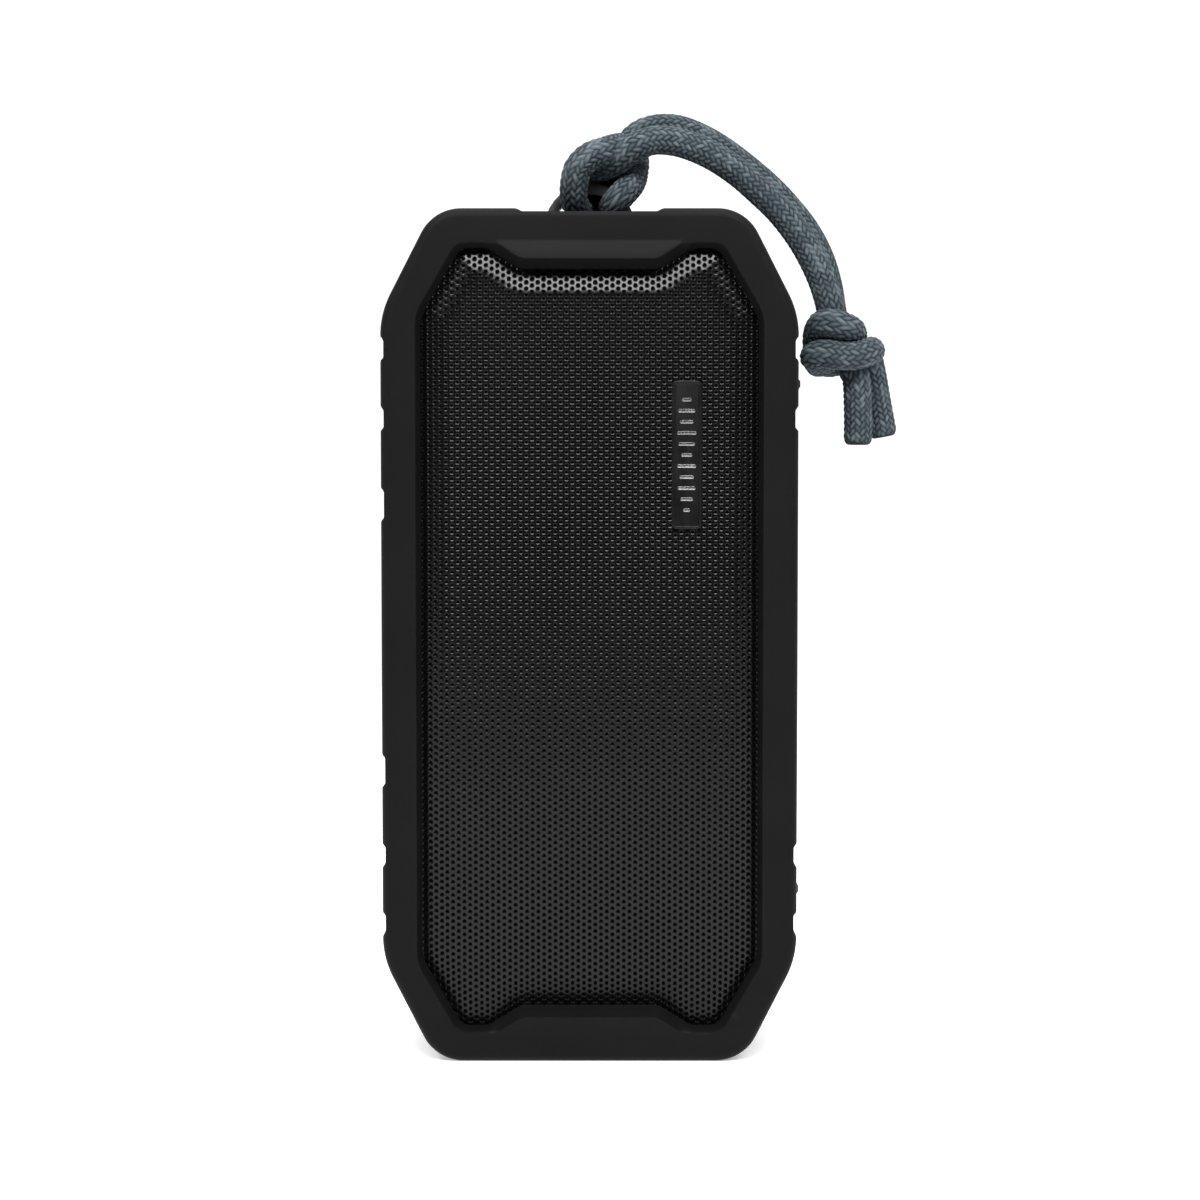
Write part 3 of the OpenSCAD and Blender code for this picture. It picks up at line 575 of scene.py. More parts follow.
def lathe(name, at, profile, material, steps):
    """A piece turned about X: profile is (distance along X, radius), from end to end."""
    angles = np.linspace(0, 2 * math.pi, steps, endpoint=False)
    rows = []
    for height, radius in profile:
        row = np.tile(np.array(at, float), (steps, 1))
        row[:, 0] += height
        row[:, 1] += radius * np.cos(angles)
        row[:, 2] += radius * np.sin(angles)
        rows.append(row)
    return closed_object(name, rows, material)


def closed_object(name, rows, material, smooth_deg=35.0):
    """A solid piece of capped rows."""
    piece = make_object(name, np.concatenate(rows), capped(rows), material, smooth_deg)
    fix_normals(piece)
    smooth(piece, smooth_deg)
    return piece


def fix_normals(piece):
    work = bmesh.new()
    work.from_mesh(piece.data)
    bmesh.ops.remove_doubles(work, verts=work.verts, dist=1e-7)
    bmesh.ops.recalc_face_normals(work, faces=work.faces)
    work.to_mesh(piece.data)
    work.free()


def softened(node, material, width_mm):
    """A copy of a CAD solid with its sharp edges rounded, standing for that node."""
    source = frame["nodes"][node]
    work = bmesh.new()
    work.from_mesh(source.data)
    work.transform(source.matrix_world)
    bmesh.ops.remove_doubles(work, verts=work.verts, dist=1e-6)
    bmesh.ops.dissolve_limit(work, angle_limit=math.radians(1.0), verts=work.verts, edges=work.edges)
    least = math.radians(32)
    sharp = [e for e in work.edges if e.is_manifold and e.calc_face_angle() > least]
    bmesh.ops.bevel(work, geom=sharp, offset=width_mm * MM, offset_type="OFFSET", segments=2,
                    profile=0.5, affect="EDGES", clamp_overlap=True)
    bmesh.ops.recalc_face_normals(work, faces=work.faces)
    mesh = bpy.data.meshes.new(node + "_shape")
    work.to_mesh(mesh)
    work.free()
    piece = bpy.data.objects.new(node + "_shape", mesh)
    bpy.context.collection.objects.link(piece)
    mesh.materials.append(material)
    smooth(piece, 40)
    return piece


# ---------------------------------------------------------------- lanyard

# The routes of strands and tails repeat the design's points, and the hitch and the knot are tied
# inside its outer shapes for them. Heights are counted from the body's top end.
FRONT_STRAND = [
    (8.4, -6, 13), (12, -5.8, 14.4), (16, -5.4, 14.3), (19.5, -5, 13.4), (24, -4.6, 11.4),
    (28.6, -4.2, 8.4), (32.6, -3.9, 5), (36.6, -3.6, 1.2), (40.4, -3.3, -3.6),
    (43, -3.1, -8), (45, -2.9, -12.4), (46.4, -2.8, -17.2),
]
REAR_STRAND = [
    (9.6, 0.3, 16.4), (12.6, 0.5, 17.5), (16.4, 0.8, 17.6), (20.4, 1.2, 16.4), (25, 1.5, 14),
    (30, 1.8, 10.4), (35, 2.1, 6.2), (39, 2.3, 2), (42.4, 2.5, -2.4), (45, 2.6, -7.4),
    (46.6, 2.7, -12.6), (47.4, 2.7, -17.4),
]
LEFT_TAIL = [(51.6, -1.4, -30.4), (52, -2, -37), (52, -2.2, -43.4)]
RIGHT_TAIL = [(55, 2.2, -28.8), (56.2, 2.8, -35), (57.5, 3, -41.8)]

# The girth hitch: from the bight's middle over the top and down in front of the lug, through the
# eye and up behind it; and from the bight's middle down the right side, through the eye.
FRONT_HITCH = [
    (7.6, 2.5, 14.2), (5.4, -2, 13.6), (2.8, -5.8, 12.4), (0, -7, 11.2), (-2.2, -7, 9), (-3, -6.2, 6),
    (-3, -4, 3), (-2, 0, 2.2), (-0.7, 4.6, 2.8), (-0.8, 5.6, 6.2), (-1, 3.6, 9), (0, 0.6, 9.7),
    (2.6, -2.2, 9.9), (5.4, -4.6, 10.9),
]
REAR_HITCH = [
    (7.6, 2.5, 14.2), (8.8, 4, 12), (8.6, 2, 9), (8, -1.5, 6.8), (6.6, -4, 4.8), (5.2, -4.6, 3.2),
    (4.2, -2, 2.2), (4.2, 0, 2.2), (4.6, 4.6, 3.2), (4.5, 5.8, 6.4), (4.4, 4.2, 8.6), (5, 2.4, 10),
    (6.8, 0.8, 13.6),
]

# The overhand knot in the doubled cord: down inside, round the left, across the front, round the
# right and out below. Its hidden turns are guessed.
FRONT_KNOT = [
    (46.8, -0.6, -20.5), (47, 1.8, -24), (46.4, 2.8, -27), (44.6, 2.4, -27.8), (44, 0.6, -25.6),
    (44, -2, -22), (45, -4.4, -20.3), (46.8, -5.4, -20.3), (48.7, -5.2, -20.9), (50.3, -3.8, -21.5),
    (51.2, -1, -22.6), (51.2, 2.2, -24), (50.4, 3.2, -26), (50.6, 1, -28.4),
]
REAR_KNOT = [
    (48.2, 3.6, -20.8), (48.8, 4.4, -24), (48.8, 3.4, -27), (47.2, 1.2, -28), (44.6, -1.4, -27.4),
    (43.2, -4, -26.6), (44.8, -5.6, -26.2), (47.8, -6, -26.6), (51, -5.6, -26.6), (53.6, -3.8, -25.8),
    (54.6, -0.8, -25.4), (54.4, 2.2, -26),
]

EYE_Z = BODY_H + 2.2                 # the lug's eye
CARRIERS = 16                        # yarns in each direction of the braid
BRAID_PITCH = 1.3                    # distance along the cord between yarns of one direction
YARN_RISE = 0.36                     # relief of a yarn above the crossings
AROUND = 96                          # points round the cord
STEP = 0.21                          # distance along the cord between rings of points


def curve_through(points, step):
    """Points at equal steps along a smooth line through the given ones."""
    p = np.array(points, float)
    p = np.concatenate([[2 * p[0] - p[1]], p, [2 * p[-1] - p[-2]]])
    fine = []
    for k in range(1, len(p) - 2):
        knots = [0.0]
        for a, b in zip(p[k - 1:k + 2], p[k:k + 3]):
            knots.append(knots[-1] + math.sqrt(np.linalg.norm(b - a)))
        for t in np.linspace(knots[1], knots[2], 24, endpoint=False):
            fine.append(between(p[k - 1:k + 3], knots, t))
    fine.append(p[-2])
    fine = np.array(fine)
    for _ in range(12):
        fine[1:-1] = (fine[:-2] + 2 * fine[1:-1] + fine[2:]) / 4
    length = np.linalg.norm(np.diff(fine, axis=0), axis=1).sum()
    return resample(fine, int(round(length / step)))


def blend(a, b, low, high, t):
    return ((high - t) * a + (t - low) * b) / (high - low)


def between(p, knots, t):
    """Centripetal Catmull-Rom point of four points and their knots."""
    first = [blend(p[k], p[k + 1], knots[k], knots[k + 1], t) for k in range(3)]
    second = [blend(first[k], first[k + 1], knots[k], knots[k + 2], t) for k in range(2)]
    return blend(second[0], second[1], knots[1], knots[2], t)


def carried_frames(line):
    """Two directions across the line at each point, turned as little as possible."""
    along = np.gradient(line, axis=0)
    along /= np.linalg.norm(along, axis=1)[:, None]
    side = np.cross(along[0], (0, 0, 1))
    side /= np.linalg.norm(side)
    sides = []
    for t in along:
        side = side - np.dot(side, t) * t
        side /= np.linalg.norm(side)
        sides.append(side)
    sides = np.array(sides)
    return sides, np.cross(along, sides)


def braid(run, angle):
    """Relief, tint and fibre place of a two-over-two braid, at a run along it and an angle."""
    turn = CARRIERS * angle / (2 * math.pi)
    right, left = turn + run / BRAID_PITCH, turn - run / BRAID_PITCH
    i, j = np.floor(right), np.floor(left)
    right_up = np.mod(i + j, 4) < 2
    across = np.where(right_up, right - i, left - j) * 2 - 1
    float_at = np.where(right_up, np.mod(i + left, 4), np.mod(right + j - 2, 4)) / 2
    swell = np.sqrt(np.clip(np.sin(math.pi * np.clip(float_at, 0, 1)), 0, 1))
    relief = np.sqrt(np.clip(1 - across ** 2 * 0.92, 0, 1)) * (0.3 + 0.7 * swell)
    yarn = np.where(right_up, i, j + 1000)
    float_number = np.floor(np.where(right_up, (i + left) / 4, (right + j - 2) / 4))
    tint = np.mod(np.sin(yarn * 12.9898 + float_number * 78.233) * 43758.5453, 1)
    fibre = np.stack([across * 0.5 + yarn * 3, float_at + float_number * 5, relief * 0], axis=-1)
    return relief, tint, fibre


def squeeze(line, places):
    """Radius factor along the line, less near the given places (point, reach, factor)."""
    factor = np.ones(len(line))
    for point, reach, least in places:
        near = np.exp(-(np.linalg.norm(line - np.array(point), axis=1) / reach) ** 2)
        factor = np.minimum(factor, 1 - (1 - least) * near)
    return factor


def braided_cord(name, points, material, places):
    """A braided cord along a route, with a melted end; returns it and its line in metres."""
    route = [(x, y, z + BODY_H) for x, y, z in points]
    line = curve_through(route, STEP)
    sides, ups = carried_frames(line)
    run = np.arange(len(line)) * STEP
    angle = np.linspace(0, 2 * math.pi, AROUND, endpoint=False)
    runs, angles = np.meshgrid(run, angle, indexing="ij")
    relief, tint, fibre = braid(runs, angles)
    core = CORD_R - YARN_RISE * 0.75
    factor = squeeze(line, places)[:, None]
    end = np.clip((run[-1] - runs) / 0.8, 0, 1)
    radius = (core + YARN_RISE * relief * end) * factor - 0.12 * (1 - end) ** 2
    across = np.cos(angles)[..., None] * sides[:, None] + np.sin(angles)[..., None] * ups[:, None]
    rows = list(line[:, None] + radius[..., None] * across)
    along = unit(line[-1] - line[-2])
    for inset, rise in ((0.14, 0.12), (0.5, 0.24), (1.5, 0.2), (2.2, 0.12)):
        rows.append(line[-1] + along * rise + (radius[-1] - inset)[:, None] * across[-1])
    piece = make_object(name, np.concatenate(rows), capped(rows), material, 75)
    braided = len(line) * AROUND
    melt = np.ones(len(rows) * AROUND)
    melt[:braided] = (1 - end.reshape(-1)) ** 2
    store(piece, "yarn", np.stack([pad(relief, melt), pad(tint, melt), melt], axis=1))
    store(piece, "fibre", np.concatenate([fibre.reshape(-1, 3), np.zeros((len(melt) - braided, 3))]))
    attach(piece, "root")
    return piece, line * MM


def pad(values, like):
    """Values for the braid, filled up for the melted end to as many as like has."""
    flat = values.reshape(-1)
    return np.concatenate([flat, np.full(len(like) - len(flat), 0.3)])


def store(piece, name, values):
    """Keeps three values for each point, for the material to read."""
    attribute = piece.data.attributes.new(name, "FLOAT_VECTOR", "POINT")
    attribute.data.foreach_set("vector", np.asarray(values, float).reshape(-1))


def lanyard():
    material = lanyard_cord()
    hitch = [((-3, 0, EYE_Z), 5, 0.92), ((4, 0, EYE_Z), 5, 0.92)]
    knot = [((47.5, 2, BODY_H - 25), 4, 0.8)]
    front, front_line = braided_cord(
        "lanyard_front_cord", FRONT_HITCH + FRONT_STRAND + FRONT_KNOT + LEFT_TAIL, material, hitch + knot)
    rear, rear_line = braided_cord(
        "lanyard_rear_cord", REAR_HITCH + REAR_STRAND + REAR_KNOT + RIGHT_TAIL, material, hitch + knot)
    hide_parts("lanyard_hitch", "lanyard_front_strand", "lanyard_left_tail")
    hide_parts("lanyard_knot", "lanyard_rear_strand", "lanyard_right_tail")


lanyard()


# ---------------------------------------------------------------- bumper


def distance_from_end(points):
    """How far points in X and Z are from the nearer end of the body."""
    return np.minimum(points[:, 1], BODY_H - points[:, 1])


def ease(value, low, high):
    t = np.clip((value - low) / (high - low), 0, 1)
    return t * t * (3 - 2 * t)


def tab_height(points):
    """Rise of the ramped tabs above a rim."""
    ramp = np.clip((distance_from_end(points) - TAB_FOOT) / TAB_RUN, 0, 1)
    return TAB_RISE * ramp * ease(np.abs(points[:, 0]), 17.6, 16.8)


def groove_depth(points):
    """Depth of the grooves across the sides and of the recess round the lug."""
    x, z = points[:, 0], points[:, 1]
    depth = np.zeros(len(points))
    grooves = [(at, 2.25, side) for at in (-54, -41, 41, 54) for side in (-1, 1)]
    grooves += [(at, 3.1, -1) for at in (-25, 25)]
    for at, half, side in grooves:
        away = np.abs(z - MID_Z - at)
        shape = ease(away, half + 0.15, half - 0.75)
        depth = np.maximum(depth, GROOVE_DEPTH * shape * (x * side > HALF_W - 3))
    recess = ease(np.abs(x), 14.0, 12.5) * (z > BODY_H - 3)
    return np.maximum(depth, LUG_RECESS * recess)


def rib_height(points):
    """Rise of the two small ribs on the right side."""
    away = np.abs(np.abs(points[:, 1] - MID_Z) - 47.4)
    return RIB_RISE * ease(away, 1.05, 0.55) * (points[:, 0] > HALF_W - 3)


def bumper():
    outer = ring(BODY_QUARTER)
    normal = outer - ring(BODY_QUARTER, 1.0)
    groove, rib = groove_depth(outer), rib_height(outer)

    def inset(amount):
        return outer - np.maximum(amount, groove)[:, None] * normal

    def half(side):
        """Rows from the middle of the wall over one rim and down its lip."""
        drop = np.array(OPENING_DROP if side < 0 else (0, 0))
        lip, mesh_edge = ring(LIP_QUARTER) - drop, ring(MESH_QUARTER) - drop
        wall = outer - (groove - rib)[:, None] * normal
        rows = [at_depth(wall, side * y) for y in (0.0, 10.0, 18.9)]
        rows.append(at_depth(inset(0.0), side * 19.7))
        for k in range(8):
            turn = math.radians(90 * k / 7)
            place = inset(EDGE_R * (1 - math.cos(turn)))
            rows.append(at_depth(place, side * (RIM_Y - EDGE_R * (1 - math.sin(turn)))))
        start = inset(EDGE_R)
        span = np.linalg.norm(lip - start, axis=1)
        lip_from_end = distance_from_end(lip)
        foot = TAB_FOOT + lip_from_end - distance_from_end(lip + drop)
        rise_share = (foot - EDGE_R) / np.maximum(lip_from_end - EDGE_R, 0.1)
        rise_line = np.clip(rise_share, 0.3, 0.85) * span
        crossing = (rise_line - 0.25, rise_line, rise_line + 0.25)
        for at in (*crossing, (rise_line + span) / 2, span - 0.35, span - 0.08):
            place = start + (lip - start) * (at / span)[:, None]
            rows.append(at_depth(place, side * (RIM_Y + tab_height(place + drop))))
        rows[-1][:, 1] -= side * 0.07
        rise = tab_height(lip + drop)
        crest = RIM_Y + rise
        sharp = 1 - np.clip(rise / 0.4, 0, 1)
        fall = mesh_edge - lip
        rows.append(at_depth(lip + fall * (0.09 * sharp + 0.03)[:, None], side * (crest - 0.32)))
        rows.append(at_depth(lip + fall * 0.18, side * (RIM_Y - 0.18 * WALL)))
        rows.append(at_depth(mesh_edge - fall * 0.03, side * (FACE_Y + 0.1)))
        rows.append(at_depth(mesh_edge, side * FACE_Y))
        rows.append(at_depth(outer - WALL * normal, side * FACE_Y))
        return rows

    rows = half(-1)[::-1] + half(1)[1:]
    piece = make_object("bumper_shape", np.concatenate(rows), weave_rows(rows, True), bumper_rubber())
    fix_normals(piece)
    tools = []
    mouth, bore, shoulder = BUTTON_R + 0.55, BUTTON_R + 0.25, BUTTON_R + 0.8
    button_hole = [(-3, mouth), (-0.02, mouth), (0.28, bore), (1.38, bore), (1.4, shoulder), (4, shoulder)]
    for k, z in enumerate(BUTTON_ZS):
        tools.append(lathe("tool%d" % k, (-HALF_W, 0, z), button_hole, None, 64))
    light_hole = [(-3, 1.05), (-0.02, 1.05), (0.22, 0.8), (4, 0.8)]
    tools.append(lathe("tool_light", (-HALF_W, LIGHT_Y, MID_Z), light_hole, None, 32))
    tools.append(lug_slot())
    cut(piece, tools)
    smooth(piece, 32)
    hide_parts("bumper")
    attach(piece, "root")


def lug_slot():
    """The tool that cuts the slot in the top end, where the lug comes out."""
    half_x, half_y = 9.1, 2.7
    corners = [np.array(c) * (half_x, half_y) for c in ((1, -1), (1, 1), (-1, 1), (-1, -1))]
    loop = round_loop(corners, 1.2)
    rows = [np.array([(x, y, z) for x, y in loop]) for z in (BODY_H - 4, BODY_H + 2)]
    return closed_object("tool_slot", rows, None)


bumper()

# ---------------------------------------------------------------- grille

HOLE_PITCH_X = 1.07                  # columns of holes
HOLE_PITCH_Z = 1.24                  # holes in one column; neighbours are half a pitch off
HOLE_R = 0.47                        # at the front face
HOLE_FOOT_R = 0.35                   # at the foot of the hole's chamfer
CHAMFER = 0.062                      # how deep the chamfer goes
HOLE_SIDES = 8
BEVEL = 4.7                          # width of the sheet's sloping border
BEVEL_DROP = 1.86                    # how far back the border slopes
BEVEL_SOFTNESS = 0.12                # rounding where the slope begins, as a share of its width


def distance_inside(points, loop):
    """Signed distance of points from a closed outline, positive inside."""
    a, b = loop, np.roll(loop, -1, axis=0)
    edge = b - a
    length = (edge ** 2).sum(axis=1)
    away = np.full(len(points), 1e9)
    crossings = np.zeros(len(points), int)
    for start, end, along, size in zip(a, b, edge, length):
        rel = points - start
        t = np.clip((rel @ along) / size, 0, 1)
        away = np.minimum(away, np.linalg.norm(rel - t[:, None] * along, axis=1))
        above = (start[1] > points[:, 1]) != (end[1] > points[:, 1])
        if above.any():
            x = start[0] + (points[:, 1] - start[1]) * along[0] / (along[1] or 1e-12)
            crossings += above & (points[:, 0] < x)
    return np.where(crossings % 2 == 1, away, -away)


def sheet_depth(inside):
    """Depth of the grille's front face at a distance inside its edge."""
    t = np.clip(inside, 0, None) / BEVEL
    slope = (1 - t + np.sqrt((1 - t) ** 2 + BEVEL_SOFTNESS ** 2)) / 2
    return GRILLE_Y + BEVEL_DROP * slope / ((1 + math.sqrt(1 + BEVEL_SOFTNESS ** 2)) / 2)


def grille():
    """The perforated sheet and the cloth behind it, each in an upper and a lower half."""
    edge = ring(MESH_QUARTER, 0, (60, 24, 60)) - np.array(OPENING_DROP)
    columns, lines = int(HALF_W / HOLE_PITCH_X), int(MID_Z / HOLE_PITCH_Z)
    centres = []
    for c in range(-columns, columns + 1):
        shift = 0.5 * (c % 2)
        centres += [(c * HOLE_PITCH_X, (r + shift) * HOLE_PITCH_Z + MID_Z) for r in range(-lines, lines)]
    centres = np.array(centres)
    inside = distance_inside(centres, edge)
    metal_look, cloth_look = grille_metal(), grille_cloth()
    for name, chosen in (("upper", centres[:, 1] >= MID_Z), ("lower", centres[:, 1] < MID_Z)):
        chosen = chosen & (inside > -0.9)
        grille_half(name, edge, centres[chosen], inside[chosen] > -0.1, metal_look, cloth_look)


def grille_half(name, edge, cells, open_cell, metal_look, cloth_look):
    """Hexagonal cells round the given centres, with chamfered holes in the open ones."""
    half_z, half_x = HOLE_PITCH_Z / 2, HOLE_PITCH_X
    hexagon = np.array([
        (half_x * 2 / 3, 0), (half_x / 3, half_z), (-half_x / 3, half_z),
        (-half_x * 2 / 3, 0), (-half_x / 3, -half_z), (half_x / 3, -half_z),
    ])
    turns = np.linspace(0, 2 * math.pi, HOLE_SIDES, endpoint=False)
    circle = np.stack([np.cos(turns), np.sin(turns)], axis=1)
    corners = (cells[:, None] + hexagon).reshape(-1, 2)
    _, first, index = np.unique(np.round(corners / 0.05).astype(int), axis=0,
                                return_index=True, return_inverse=True)
    corners, index = corners[first], index.reshape(-1, 6)
    corner_depth = sheet_depth(distance_inside(corners, edge))
    holes = cells[open_cell]
    points = [at_depth(corners, corner_depth)]
    for r, sunk in ((HOLE_R, 0), (HOLE_FOOT_R, CHAMFER)):
        rims = (holes[:, None] + r * circle).reshape(-1, 2)
        points.append(at_depth(rims, sheet_depth(distance_inside(rims, edge)) + sunk))
    pattern = annulus(hexagon, circle * HOLE_R)
    faces = []
    top = len(corners)
    for outer, is_open in zip(index.tolist(), open_cell):
        if not is_open:
            faces.append(tuple(outer))
            continue
        faces += [tuple(outer[v] if v < 6 else top + v - 6 for v in face) for face in pattern]
        foot = top + len(holes) * HOLE_SIDES
        for s in range(HOLE_SIDES):
            t = (s + 1) % HOLE_SIDES
            faces.append((top + s, top + t, foot + t, foot + s))
        top += HOLE_SIDES
    sheet = make_object("grille_sheet_" + name, np.concatenate(points), faces, metal_look, 24)
    cloth = make_object("grille_backing_" + name, at_depth(corners, corner_depth + SHEET_T * 0.6),
                        [tuple(cell) for cell in index.tolist()], cloth_look, 50)
    for made, node in ((sheet, "grille"), (cloth, "grille_cloth")):
        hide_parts(node)
        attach(made, "root")


def annulus(outer, inner):
    """Triangles between an outline of 6 points and one inside it; inner points count from 6."""
    a, b = len(outer), len(inner)
    angle_a = [math.atan2(p[1], p[0]) % (2 * math.pi) for p in outer]
    angle_b = [math.atan2(p[1], p[0]) % (2 * math.pi) for p in inner]
    i = j = 0
    faces = []
    while i < a or j < b:
        next_a = angle_a[(i + 1) % a] + 2 * math.pi * ((i + 1) // a)
        next_b = angle_b[(j + 1) % b] + 2 * math.pi * ((j + 1) // b)
        if j >= b or (i < a and next_a <= next_b):
            faces.append((i % a, (i + 1) % a, 6 + j % b))
            i += 1
        else:
            faces.append((i % a, 6 + (j + 1) % b, 6 + j % b))
            j += 1
    return faces


grille()

# ---------------------------------------------------------------- badge


def rounded_plate(name, centre, size, r, levels, material):
    """A plate facing -Y; levels are (inset, depth), from the back to the middle of the front."""
    half = np.array(size) / 2
    corners = [centre + half * c for c in ((1, 1), (-1, 1), (-1, -1), (1, -1))]
    rows = [at_depth(round_loop(corners, r, inset), depth) for inset, depth in levels]
    return closed_object(name, rows, material)


def badge():
    """Blank glossy plate with a raised border, and a row of plain level bars in place of a mark."""
    low, high = (np.array(c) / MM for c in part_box("badge"))
    centre = np.array(((low[0] + high[0]) / 2, (low[2] + high[2]) / 2))
    size = (high[0] - low[0], high[2] - low[2])
    front = low[1]
    levels = [(0, high[1]), (0, front + 0.2), (0.06, front + 0.06), (0.2, front), (0.42, front),
              (0.52, front + 0.06), (0.56, front + 0.2), (0.7, front + 0.24)]
    plate = rounded_plate("badge_plate", centre, size, 1.0, levels, badge_gloss())
    bars = []
    chrome = badge_chrome()
    widths = [1.3, 2.4, 3.4, 2.8, 3.6, 2.1, 3.1, 3.7, 2.6, 3.3, 1.8]
    pitch = (size[1] - 5) / len(widths)
    face = front + 0.24
    bar_levels = [(0, face + 0.1), (0, face - 0.1), (0.08, face - 0.18), (0.2, face - 0.2)]
    for k, width in enumerate(widths):
        at = centre + (0, (k - (len(widths) - 1) / 2) * pitch)
        bars.append(rounded_plate("badge_bar_%d" % k, at, (width, 0.66), 0.3, bar_levels, chrome))
    for piece in [plate, *bars]:
        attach(piece, "root")
        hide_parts("badge")


badge()

# ---------------------------------------------------------------- buttons


def buttons():
    rubber, paint = button_rubber(), icon_paint()
    for name, z in zip(BUTTONS, BUTTON_ZS):
        low, high = (np.array(c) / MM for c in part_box(name))
        head = low[0]
        flange = -HALF_W + 1.5 - head
        foot = high[0] - head
        profile = [(0.14, 0.01), (0.12, 0.9), (0.08, 1.8), (0.03, 2.5), (0.0, 2.9), (0.03, 3.25),
                   (0.15, 3.55), (0.4, 3.74), (0.75, BUTTON_R), (flange, BUTTON_R), (flange, 4.3),
                   (flange + 0.5, 4.3), (flange + 0.5, 2.7), (foot, 2.7), (foot, 0.01)]
        piece = lathe(name + "_cap", (head, 0, z), profile, rubber, 64)
        body = name + "_body"
        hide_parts(name)
        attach(piece, body)
        for k, outline in enumerate(icon(name)):
            mark = icon_mark("%s_icon_%d" % (name, k), outline, head + 0.09, z, paint)
            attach(mark, body)


def bar(w, h, up=0.0):
    """The outline of an upright or lying bar."""
    return [(sx * w / 2, up + sy * h / 2) for sx, sy in ((1, 1), (-1, 1), (-1, -1), (1, -1))]


def icon(name):
    """Closed outlines of a plain sign, as (right, up) seen from outside."""
    if name == "volume_down_button":
        return [bar(2.6, 0.5)]
    if name == "volume_up_button":
        w, t = 1.3, 0.25
        return [[(w, t), (t, t), (t, w), (-t, w), (-t, t), (-w, t), (-w, -t), (-t, -t), (-t, -w),
                 (t, -w), (t, -t), (w, -t)]]
    if name == "play_button":
        return [[(1.4, 0), (-0.9, 1.3), (-0.9, -1.3)]]
    gap = math.radians(38)
    turns = np.linspace(math.pi / 2 + gap, math.pi / 2 + 2 * math.pi - gap, 28)
    arc = [(1.45 * math.cos(t), 1.45 * math.sin(t)) for t in turns]
    arc += [(1.0 * math.cos(t), 1.0 * math.sin(t)) for t in turns[::-1]]
    return [arc, bar(0.45, 1.5, 0.95)]


def icon_mark(name, outline, x, z, material):
    """A raised sign on a button's face, which looks towards -X."""
    right, up = np.array(outline).T
    rows = [np.stack([np.full(len(right), x + d), -right, up + z], axis=1) for d in (0.2, -0.1)]
    return closed_object(name, rows, material, 30)


buttons()

# ---------------------------------------------------------------- other CAD solids

SOFT_EDGES = {
    # node: (material, edge radius)
    "lanyard_lug": (housing_plastic, 0.5),
    "port_cover": (button_rubber, 0.3),
}


def dress():
    """Rounds the edges of visible solids and gives every other CAD node its material."""
    plastic, steel, board = housing_plastic(), screw_steel(), circuit_board()
    basket, magnet, coil = basket_metal(), magnet_steel(), coil_copper()
    paper, roll = cone_paper(), seal_rubber()
    spider, parts = spider_cloth(), board_parts()
    plated = plated_steel()
    for node, (make, width) in SOFT_EDGES.items():
        piece = softened(node, make(), width)
        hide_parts(node)
        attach(piece, frame["nodes"][node]["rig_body"])
    looks = {
        "front_housing": plastic, "rear_housing": plastic, "housing_seal": roll,
        "driver_screws": steel, "radiator_frame": plastic, "radiator_surround": roll,
        "radiator_plate": radiator_metal(), "battery_pack": battery_wrap(),
        "battery_tray": plastic, "main_board": board, "main_board_parts": parts, "board_screws": plated,
        "port_board": board, "charging_socket": plated, "aux_socket": parts, "port_hinge_pin": plated,
        "button_board": board, "button_switches": plated, "status_light": light_pipe(),
        "speaker_leads": lead_wire("speaker_wire", (0.3, 0.02, 0.02), (0.45, 0.04, 0.03)),
        "battery_lead": lead_wire("battery_wire", grey(0.015), grey(0.03)),
        "lug_screws": steel, "housing_screws": steel,
    }
    for side in ("upper_", "lower_"):
        looks.update({
            side + "basket": basket, side + "magnet": magnet, side + "voice_coil": coil,
            side + "spider": spider, side + "cone": paper, side + "dust_cap": paper,
            side + "surround": roll,
        })
    for node, material in looks.items():
        for slot in frame["nodes"][node].material_slots:
            slot.material = material


dress()

# ---------------------------------------------------------------- floor and light


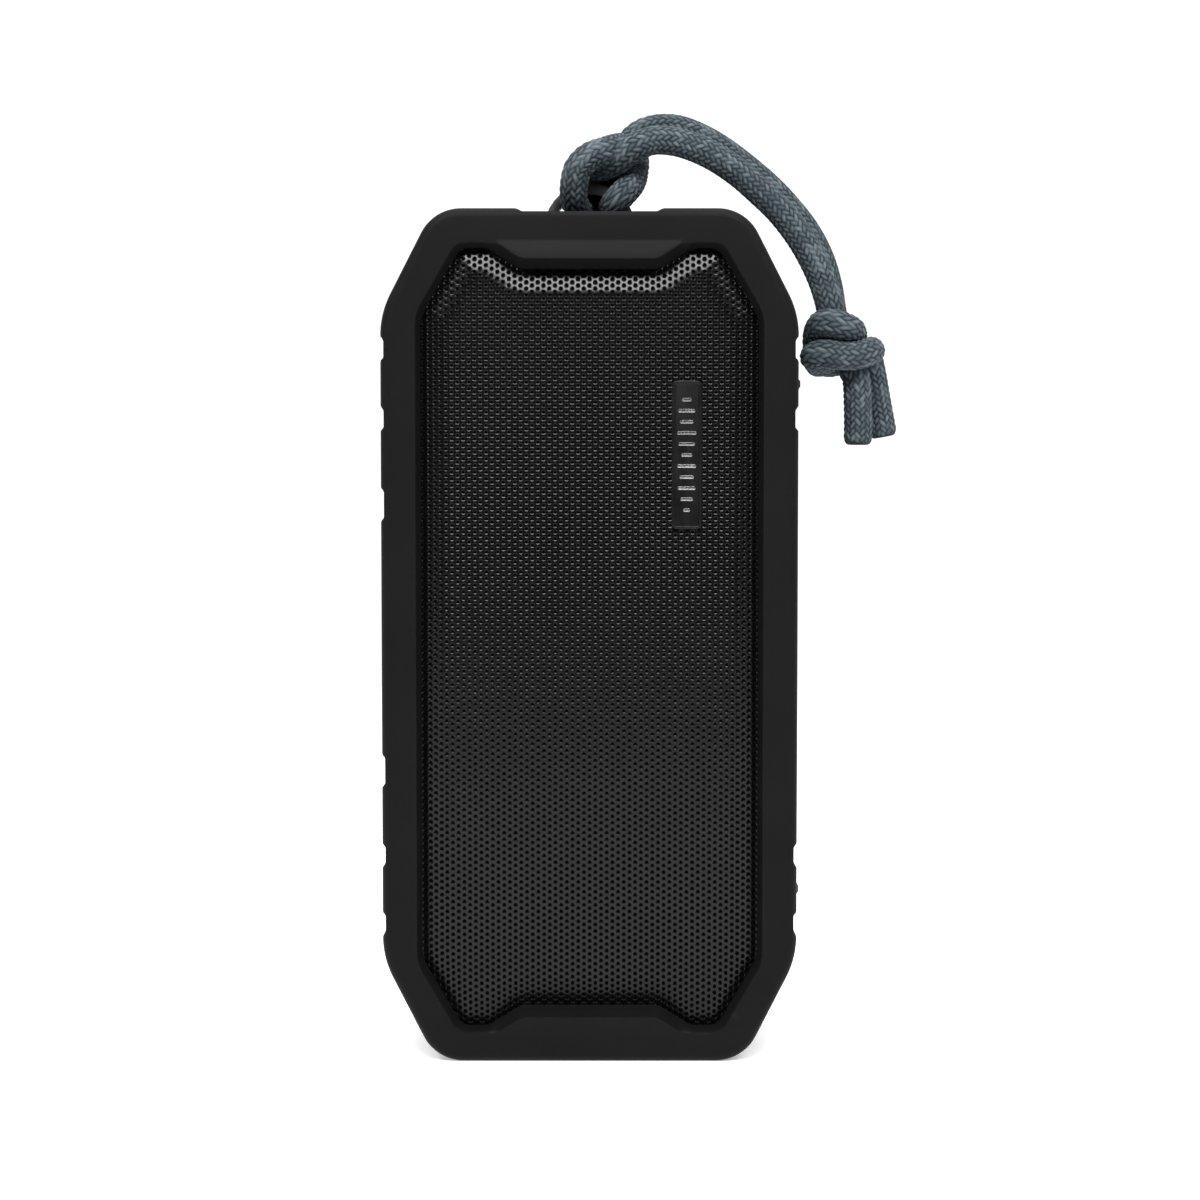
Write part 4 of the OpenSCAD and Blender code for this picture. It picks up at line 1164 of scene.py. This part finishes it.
def stage():
    """A pale table top. Its faint glow brings it to the white of the background."""
    across, deep = 9, 7              # points each way
    points = [(x, y, 0) for y in np.linspace(-600, 800, deep) for x in np.linspace(-1200, 1200, across)]
    starts = [j * across + i for j in range(deep - 1) for i in range(across - 1)]
    faces = [(a, a + 1, a + across + 1, a + across) for a in starts]
    shader = Shader("floor", grey(0.85), 0.7, specular=0.1)
    shader.colour(shader.ramp(shader.noise(0.01, 3), [(0.3, grey(0.84)), (0.7, grey(0.88))]))
    shader.surface.inputs["Emission Color"].default_value = (1, 1, 1, 1)
    shader.surface.inputs["Emission Strength"].default_value = 0.36
    floor = make_object("floor", points, faces, shader.material, 60)


def softbox(name, place, target, size, power):
    data = bpy.data.lights.new(name, "AREA")
    data.shape = "RECTANGLE"
    data.size, data.size_y = (s * MM for s in size)
    data.energy = power
    light = bpy.data.objects.new(name, data)
    light.location = Vector(place) * MM
    light.rotation_euler = (Vector(target) * MM - light.location).to_track_quat("-Z", "Y").to_euler()
    bpy.context.collection.objects.link(light)


def studio_sky(behind, ahead):
    """An even surround, brighter behind the object than ahead of it."""
    world = bpy.data.worlds.new("studio")
    world.use_nodes = True
    tree = world.node_tree
    place = tree.nodes.new("ShaderNodeTexCoord")
    split = tree.nodes.new("ShaderNodeSeparateXYZ")
    spread = tree.nodes.new("ShaderNodeMapRange")
    spread.inputs["From Min"].default_value = -0.6
    spread.inputs["From Max"].default_value = 0.6
    spread.inputs["To Min"].default_value = ahead
    spread.inputs["To Max"].default_value = behind
    background = tree.nodes["Background"]
    background.inputs["Color"].default_value = (1, 1, 1, 1)
    tree.links.new(place.outputs["Generated"], split.inputs[0])
    tree.links.new(split.outputs["Y"], spread.inputs["Value"])
    tree.links.new(spread.outputs["Result"], background.inputs["Strength"])
    bpy.context.scene.world = world


def lights():
    studio_sky(1.15, 0.12)
    bpy.context.scene.view_settings.view_transform = "Standard"
    softbox("key", (0, -500, 650), (0, 0, 120), (1200, 120), 12.5)
    softbox("top", (0, 60, 900), (0, 60, 0), (700, 400), 4)


stage()
lights()
